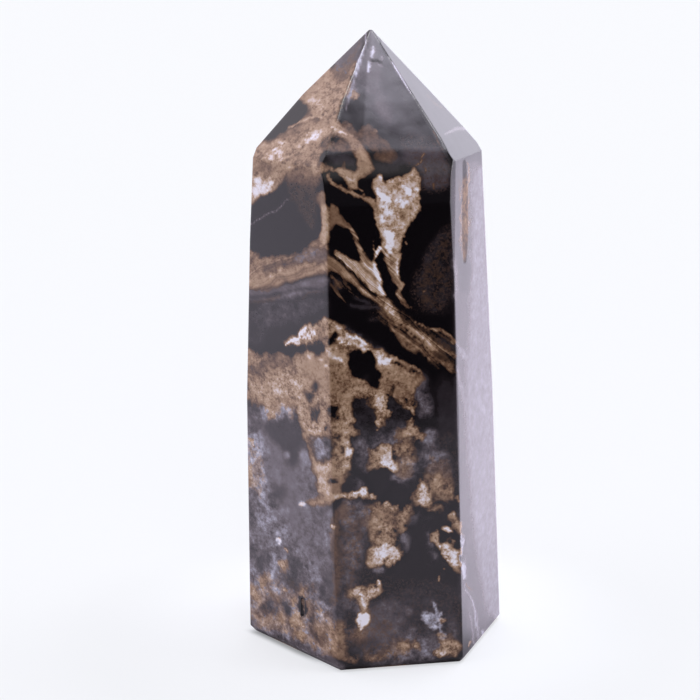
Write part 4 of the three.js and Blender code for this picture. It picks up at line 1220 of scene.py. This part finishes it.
def all_marks(points_mm):
    """The values that the shader reads at each point of the stone, by name."""
    source, behind = folded(points_mm)
    seen = 1.0 - np.minimum(1.0, LINES_FADE * behind)
    true_spots = to_picture(source)
    mottle = share_of(MOTTLE, true_spots)
    spots = warped(true_spots, points_mm, mottle)
    widened = 1.0 + WIDENED_BY_MOTTLE * mottle

    def share(reach, edge):
        return smooth_share(reach, -edge * widened, edge * widened)

    lilac = share(np.maximum(reach_of(LILAC, spots), reach_of_strands(LILAC_STRANDS, spots)),
                  LILAC_EDGE)
    hole = share(reach_of(HOLES, spots), HOLE_EDGE)

    warm = patches_over(FLECKS, np.zeros(len(spots)), true_spots, widened)
    warm = laid_on(warm, BROWN_TONE, share(reach_of(BROWN, spots), BROWN_EDGE))
    warm = laid_on(warm, TAN_TONE, share(reach_of(TAN, spots), TAN_EDGE))
    warm = patches_over(PALE, warm, spots, widened)
    warm = laid_on(warm, 0.0, LILAC_OVER_WARM * lilac)
    warm = laid_on(warm, CREAM_TONE, share(reach_of(CREAM, spots), CREAM_EDGE))
    warm = laid_on(warm, 0.0, hole)
    warm = patches_over(LATER_WARM, warm, spots, widened)
    warm = lines_over(WARM_LINES, warm, spots, seen)
    # The warm tones give way under the painted highlights of the point's edges and under the crack
    warm = lines_over([(0.0, text) for _, text in RIDGE_HIGHLIGHTS_AND_CRACK], warm, true_spots, seen)
    on_front = (points_mm[:, 0] > FRONT_CORNER_MM) & (behind == 0)
    lift = np.interp(true_spots[:, 1], *zip(*FRONT_LIFT))
    warm = np.minimum(1.0, warm * (1.0 + lift * on_front))

    grey = laid_on(0.0, CHARCOAL_TONE, share(reach_of(CHARCOAL, spots), CHARCOAL_EDGE))
    grey = laid_on(grey, MAUVE_TONE, share(reach_of(MAUVE, spots), MAUVE_EDGE))
    grey = patches_over(HAZE, grey, spots, widened)
    grey = laid_on(grey, LILAC_TONE, lilac)
    grey = laid_on(grey, HOLE_TONE, hole)
    grey = patches_over(LATER_GREY, grey, spots, widened)
    grey = lines_over(GREY_LINES, grey, spots, seen)
    # Painted highlights of the point's edges, and its dark crack, on the grey scale
    grey = lines_over(RIDGE_HIGHLIGHTS_AND_CRACK, grey, true_spots, seen)

    speckle = share(reach_of(SPECKLE, spots), SPECKLE_EDGE)
    dull = patches_over(DULL_PLACES, np.zeros(len(spots)), true_spots, np.ones(len(spots)))
    dull = lines_over(DULL_LINES, dull, true_spots, seen)

    own = np.where(points_mm[:, 2] < FOOT_MM, 1.0, behind * OWN_PATTERN)
    own_warm, own_grey = own_pattern(points_mm)
    return {
        "warm": laid_on(warm, own_warm, own),
        "grey": laid_on(grey, own_grey, own),
        "speckle": laid_on(speckle, OWN_SPECKLE, own),
        "mottle": laid_on(mottle, OWN_MOTTLE, own),
        "layered": laid_on(share_of(LAYERED, true_spots), OWN_LAYERS, own),
        "across": across_the_bands(points_mm),
        "dull": laid_on(dull, 0.0, behind),
    }


# The bands' fine streaks: how their height falls off along X and Y on the left front and on the
# other sides, and the noise that bends them
BANDS_ON_LEFT_FRONT = (-0.196, 0.331, 1.0)
LEFT_FRONT_STEP_MM = -5.95
BANDS_ELSEWHERE = (0.95, 0.0, 1.0)
BEND_MM, BEND_NOISE = 1.2, (7.0, 30)


def across_the_bands(points_mm):
    """A height that follows the bands: they rise to the right on the left front and fall after."""
    left = points_mm @ np.array(BANDS_ON_LEFT_FRONT) + LEFT_FRONT_STEP_MM
    right = points_mm @ np.array(BANDS_ELSEWHERE)
    across = np.where(points_mm[:, 0] < FRONT_CORNER_MM, left, right)
    return across + BEND_MM * drift(points_mm, *BEND_NOISE)


# The fine mesh: how far its points are apart on the faces that the camera sees and on the others,
# and how many spacings they keep clear of a face's edges
SEEN_SPACING_MM = 0.31
HIDDEN_SPACING_MM = 0.75
ROOM_BY_EDGES = 0.62
TILE_RISE = math.sqrt(3) / 2

# Corners this close are one, and so are faces that turn less than this
SAME_SPOT_MM = 0.001
LEVEL_TURN = math.radians(0.05)

# How the filling works: it keeps only the triangles inside a face, and points this close are one
FILL_INSIDE = 1
FILL_ROOM = 1e-5


def spread_points(outline, spacing):
    """Evenly spaced points inside a flat outline, kept clear of its edges."""
    low, high = outline.min(axis=0), outline.max(axis=0)
    rows = np.arange(low[1], high[1], spacing * TILE_RISE)
    columns = np.arange(low[0], high[0] + spacing, spacing)
    shifts = (np.arange(len(rows)) % 2) * spacing / 2
    across = (columns[None, :] - shifts[:, None]).ravel()
    up = np.repeat(rows, len(columns))
    spots = np.stack([across, up], axis=1)
    return spots[depth_inside(outline, spots) > ROOM_BY_EDGES * spacing]


class FineMesh:
    """The ground stone's own faces, filled with small triangles. Points are in millimetres."""

    def __init__(self, node):
        self.triangles = []
        self.edge_points = {}
        work = bmesh.new()
        work.from_mesh(node.data)
        bmesh.ops.remove_doubles(work, verts=work.verts, dist=SAME_SPOT_MM * MM)
        bmesh.ops.dissolve_limit(work, angle_limit=LEVEL_TURN, verts=work.verts, edges=work.edges)
        work.verts.index_update()
        self.points = [vert.co / MM for vert in work.verts]
        for face in work.faces:
            self.fill(face)
        work.free()

    def spacing_of(self, face):
        middle = face.calc_center_median() / MM
        seen = face.normal.dot(Vector(CAMERA_PLACE_MM) - middle) > 0
        return SEEN_SPACING_MM if seen else HIDDEN_SPACING_MM

    def along(self, edge, start):
        """The numbers of the points that divide an edge, from one of its ends."""
        first, last = sorted(vert.index for vert in edge.verts)
        if (first, last) not in self.edge_points:
            spacing = min(self.spacing_of(face) for face in edge.link_faces)
            ends = self.points[first], self.points[last]
            parts = max(1, round((ends[1] - ends[0]).length / spacing))
            numbers = range(len(self.points), len(self.points) + parts - 1)
            self.points.extend(ends[0].lerp(ends[1], part / parts) for part in range(1, parts))
            self.edge_points[first, last] = [first, *numbers, last]
        numbers = self.edge_points[first, last]
        return numbers[:-1] if start == first else numbers[:0:-1]

    def fill(self, face):
        """Fills a face with points and joins them, and those on its edges, by triangles."""
        rim = []
        for loop in face.loops:
            rim.extend(self.along(loop.edge, loop.vert.index))
        right = (face.loops[0].vert.co - face.loops[0].link_loop_next.vert.co).normalized()
        up = face.normal.cross(right)
        origin = self.points[rim[0]]

        def flat(point):
            return (point - origin).dot(right), (point - origin).dot(up)

        corners = np.array([flat(loop.vert.co / MM) for loop in face.loops])
        inner = spread_points(corners, self.spacing_of(face)).tolist()
        numbers = [*rim, *range(len(self.points), len(self.points) + len(inner))]
        self.points.extend(origin + right * x + up * y for x, y in inner)
        spots = [Vector(flat(self.points[number])) for number in rim]
        spots.extend(Vector(spot) for spot in inner)
        made = delaunay_2d_cdt(spots, [], [list(range(len(rim)))], FILL_INSIDE, FILL_ROOM)
        tiles, origins = made[2:4]
        for tile in tiles:
            chosen = [numbers[origins[corner][0]] for corner in tile]
            if len(set(chosen)) == 3:
                self.triangles.append(chosen)

    def arrays(self):
        return np.array([tuple(point) for point in self.points]), np.array(self.triangles)


# The front's shoulder: over how much height between its planes it is blended, how large the
# faces are that count, how straight they face the front, and how far they lean back
SHOULDER_BLEND_MM = 1.2
LARGE_FACE_MM2 = 4.0
STRAIGHT_TO_FRONT = 0.97
UPPER_LEAN = (30.0, 45.0)
LOWER_LEAN = (6.0, 12.0)


def front_planes(node, least_lean, most_lean):
    """The planes of the front's large faces that lean back by so many degrees."""
    planes = []
    for face in node.data.polygons:
        lean = math.asin(max(-1.0, min(1.0, face.normal.z)))
        to_front = -face.normal.y > STRAIGHT_TO_FRONT * math.cos(lean)
        large = face.area > LARGE_FACE_MM2 * MM * MM
        if to_front and large and least_lean < math.degrees(lean) < most_lean:
            normal = np.array(face.normal)
            planes.append((normal, normal @ np.array(face.center) / MM))
    return planes


def height_over(planes, points):
    return np.max([points @ normal - distance for normal, distance in planes], axis=0)


def with_soft_shoulder(points, node):
    """Rolls the front's shoulder over gently, as the polishing left it."""
    upper = front_planes(node, *UPPER_LEAN)
    lower = front_planes(node, *LOWER_LEAN)
    over = height_over(upper, points)
    under = height_over(lower, points)
    blend = np.clip(1.0 - np.abs(over - under) / SHOULDER_BLEND_MM, 0.0, 1.0)
    excess = np.maximum(over, under) + blend * blend * SHOULDER_BLEND_MM / 4
    outward = upper[0][0] + lower[0][0]
    outward /= np.linalg.norm(outward)
    reach = np.maximum(excess, 0.0) / (outward @ upper[0][0])
    return points - reach[:, None] * outward


def from_srgb(red, green, blue):
    """The linear colour, with its alpha, of a colour given as three numbers up to 255."""
    shares = [value / 255 for value in (red, green, blue)]
    linear = [share / 12.92 if share < 0.04045 else ((share + 0.055) / 1.055) ** 2.4
              for share in shares]
    return (*linear, 1.0)


# The stone's two scales of colour: warm from dark brown over tan to white, and grey from black
# over mauve to pale lilac
WARM_SCALE = (
    (0.16, (52, 38, 31)),
    (0.28, (72, 52, 41)),
    (0.40, (96, 70, 54)),
    (0.52, (122, 94, 74)),
    (0.64, (151, 122, 98)),
    (0.76, (180, 152, 129)),
    (0.87, (208, 192, 189)),
    (1.0, (232, 228, 238)),
)
GREY_SCALE = (
    (0.0, (14, 11, 14)),
    (0.15, (27, 22, 25)),
    (0.3, (54, 48, 53)),
    (0.45, (86, 77, 82)),
    (0.6, (118, 112, 121)),
    (0.75, (150, 147, 161)),
    (1.0, (206, 205, 222)),
)
SPECKLE_BROWN = from_srgb(66, 50, 46)

# The grain is drawn out a little from the front to the back of the stone. Each kind has its own
# shift, how many of its grains go to a millimetre, its detail and its roughness.
GRAIN_PER_METRE = (1000.0, 620.0, 1000.0)
COARSE_GRAIN = ((0.0, 0.0, 0.0), 0.55, 4.0, 0.62)
MEDIUM_GRAIN = ((31.0, 7.0, 3.0), 1.5, 4.0, 0.66)
FINE_GRAIN = ((5.0, 43.0, 9.0), 3.0, 1.0, 0.6)
GREY_GRAIN = ((61.0, 17.0, 23.0), 1.0, 5.0, 0.68)
WAVE_OF_POLISH = ((0.0, 0.0, 0.0), 0.16, 2.0, 0.55)
WEAR_OF_POLISH = ((0.0, 0.0, 0.0), 2.0, 3.0, 0.55)

# How the grain moves the warm tone: the weights of its coarse, medium and fine kinds, how much of
# its lighter half is held back, how far it is raised, its swing without mottle and what full
# mottle adds, and the tones between which it comes in
WARM_GRAIN_WEIGHTS = (0.6, 0.72, 0.3)
LIGHTER_HELD_BACK = 0.5
GRAIN_RAISED = 0.1
WARM_SWING = (0.3, 0.95)
WARM_GRAIN_FROM = (0.02, 0.3)

# The bands' streaks: how many go to a millimetre, their detail and roughness, and their strength
# without layers and what full layers add
STREAKS_PER_MM = 1.1
STREAK_CLOUD = (3.0, 0.6)
STREAK_STRENGTH = (0.04, 0.24)

# How the grain moves the grey tone: the weights of its own, fine and coarse kinds, its swing
# without mottle and what full mottle adds, the tones from which to which that swing grows and
# from how much to how much, and the tones between which it comes in
GREY_GRAIN_WEIGHTS = (0.6, 0.15, -0.4)
GREY_SWING = (0.3, 1.3)
GREY_SWING_BY_TONE = (0.15, 0.7, 0.45, 0.8)
GREY_GRAIN_FROM = (0.03, 0.3)

# The specks show from the first height of the fine or the medium grain and are full at the second
FINE_SPECKS = (0.0, 0.4)
MEDIUM_SPECKS = (0.0, 0.35)
SPECKLE_STRENGTH = 0.8

# Where the warm colours show: they begin at the first tone and are full at the second, once the
# grain has moved them, and faint ones stay thin
WARM_SHOWS = (0.15, 0.24)
THIN_UNTIL = (0.15, 0.45)
THINNEST = 0.55
GREY_AS_LIGHT = 0.95

# The polish: its roughness on the dark ground and where the warm tone is pale, what wear and dull
# places add, how high its waves and its wear stand, and the opal's index of refraction
PALE_TONES = (0.3, 0.8)
POLISHED_TO_PALE = (0.1, 0.2)
ROUGHER_BY_WEAR = 0.03
ROUGHER_WHERE_DULL = 0.5
WAVE_MM = 0.02
WEAR_MM = 0.0006
OPAL_IOR = 1.46


def colour_scale(graph, tone, steps):
    node = graph.add("ShaderNodeValToRGB", {"Fac": tone})
    elements = node.color_ramp.elements
    while len(elements) < len(steps):
        elements.new(0.5)
    for element, (place, _) in zip(elements, steps):
        element.position = place
    for element, (_, colour) in zip(elements, steps):
        element.color = from_srgb(*colour)
    return node.outputs["Color"]


def grain_of(graph, place, kind):
    shift, scale, detail, rough = kind
    return graph.grain(graph.vector("ADD", place, shift), scale, detail, rough)


def warm_tone(graph, coarse, medium, fine):
    """The tone of the warm colours, moved by the grain and by the streaks of the bands."""
    warm = graph.mark("warm")
    grain = graph.blend(*zip((coarse, medium, fine), WARM_GRAIN_WEIGHTS))
    lighter = graph.math("MAXIMUM", grain, 0.0)
    grain = graph.plus(graph.plus(grain, graph.times(lighter, -LIGHTER_HELD_BACK)), GRAIN_RAISED)
    height = graph.times(graph.mark("across"), STREAKS_PER_MM)
    streaks = graph.cloudy(*STREAK_CLOUD, {"W": height, "Scale": 1.0}, noise_dimensions="1D")
    moved = graph.blend((grain, graph.by_mark("mottle", *WARM_SWING)),
                        (streaks, graph.by_mark("layered", *STREAK_STRENGTH)))
    return graph.plus(warm, graph.times(moved, graph.step(warm, *WARM_GRAIN_FROM)))


def grey_tone(graph, place, coarse, fine):
    """The tone of the grey ground, moved by a grain of its own."""
    grey = graph.mark("grey")
    own = grain_of(graph, place, GREY_GRAIN)
    grain = graph.blend(*zip((own, fine, coarse), GREY_GRAIN_WEIGHTS))
    swing = graph.times(graph.by_mark("mottle", *GREY_SWING), graph.step(grey, *GREY_SWING_BY_TONE))
    moved = graph.times(grain, swing)
    return graph.plus(grey, graph.times(moved, graph.step(grey, *GREY_GRAIN_FROM)))


def opal_colour(graph, place):
    """The stone's colour, from its drawn tones and the grain that breaks them, and how pale it is."""
    coarse = grain_of(graph, place, COARSE_GRAIN)
    medium = grain_of(graph, place, MEDIUM_GRAIN)
    fine = grain_of(graph, place, FINE_GRAIN)
    warm = warm_tone(graph, coarse, medium, fine)
    grey = grey_tone(graph, place, coarse, fine)

    specks = graph.math("MAXIMUM", graph.step(fine, *FINE_SPECKS),
                        graph.step(medium, *MEDIUM_SPECKS))
    share = graph.times(graph.times(graph.mark("speckle"), specks), SPECKLE_STRENGTH)
    ground = graph.mix(share, colour_scale(graph, grey, GREY_SCALE), SPECKLE_BROWN)

    thin = graph.step(graph.mark("warm"), *THIN_UNTIL, THINNEST, 1.0)
    shows = graph.times(graph.step(warm, *WARM_SHOWS), thin)
    as_light = graph.math("MAXIMUM", warm, graph.times(grey, GREY_AS_LIGHT))
    colour = graph.mix(shows, ground, colour_scale(graph, as_light, WARM_SCALE))
    pale = graph.times(shows, graph.step(warm, *PALE_TONES))
    return colour, pale


def polished_opal():
    material = bpy.data.materials.new("polished_opal")
    graph = Graph(material)
    object_place = graph.add("ShaderNodeTexCoord").outputs["Object"]
    place = graph.vector("MULTIPLY", object_place, GRAIN_PER_METRE)
    colour, pale = opal_colour(graph, place)
    wave = grain_of(graph, place, WAVE_OF_POLISH)
    wear = grain_of(graph, place, WEAR_OF_POLISH)
    rough = graph.step(pale, 0.0, 1.0, *POLISHED_TO_PALE)
    rough = graph.plus(rough, graph.times(wear, ROUGHER_BY_WEAR))
    rough = graph.plus(rough, graph.times(graph.mark("dull"), ROUGHER_WHERE_DULL))
    height = graph.blend((wave, WAVE_MM * MM), (wear, WEAR_MM * MM))
    bump = graph.add("ShaderNodeBump", {"Height": height, "Distance": 1.0, "Strength": 1.0})
    polish = graph.add("ShaderNodeBsdfPrincipled",
                       {"Base Color": colour, "Roughness": rough, "IOR": OPAL_IOR,
                        "Normal": bump.outputs[0]})
    graph.finish("ShaderNodeOutputMaterial", polish)
    return material


# Edges that turn more than this, as at the slot's lip, stay crisp
SHARPEST_ROUND = math.radians(40)


def build_stone():
    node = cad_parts["obelisk"]
    points, triangles = FineMesh(node).arrays()
    shape = with_soft_shoulder(points, node)
    mesh = bpy.data.meshes.new("polished_stone")
    mesh.from_pydata((shape * MM).tolist(), [], triangles.tolist())
    for name, values in all_marks(points).items():
        layer = mesh.attributes.new(name, "FLOAT", "POINT")
        layer.data.foreach_set("value", values.astype(np.float32))
    mesh.shade_smooth()
    mesh.set_sharp_from_angle(angle=SHARPEST_ROUND)
    mesh.update()
    mesh.materials.append(polished_opal())
    stone = bpy.data.objects.new("polished_stone", mesh)
    bpy.context.scene.collection.objects.link(stone)
    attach(stone, "root")
    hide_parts("obelisk")


add_camera()
light_the_world()
add_floor()
build_stone()
bpy.context.scene.view_settings.view_transform = "Standard"
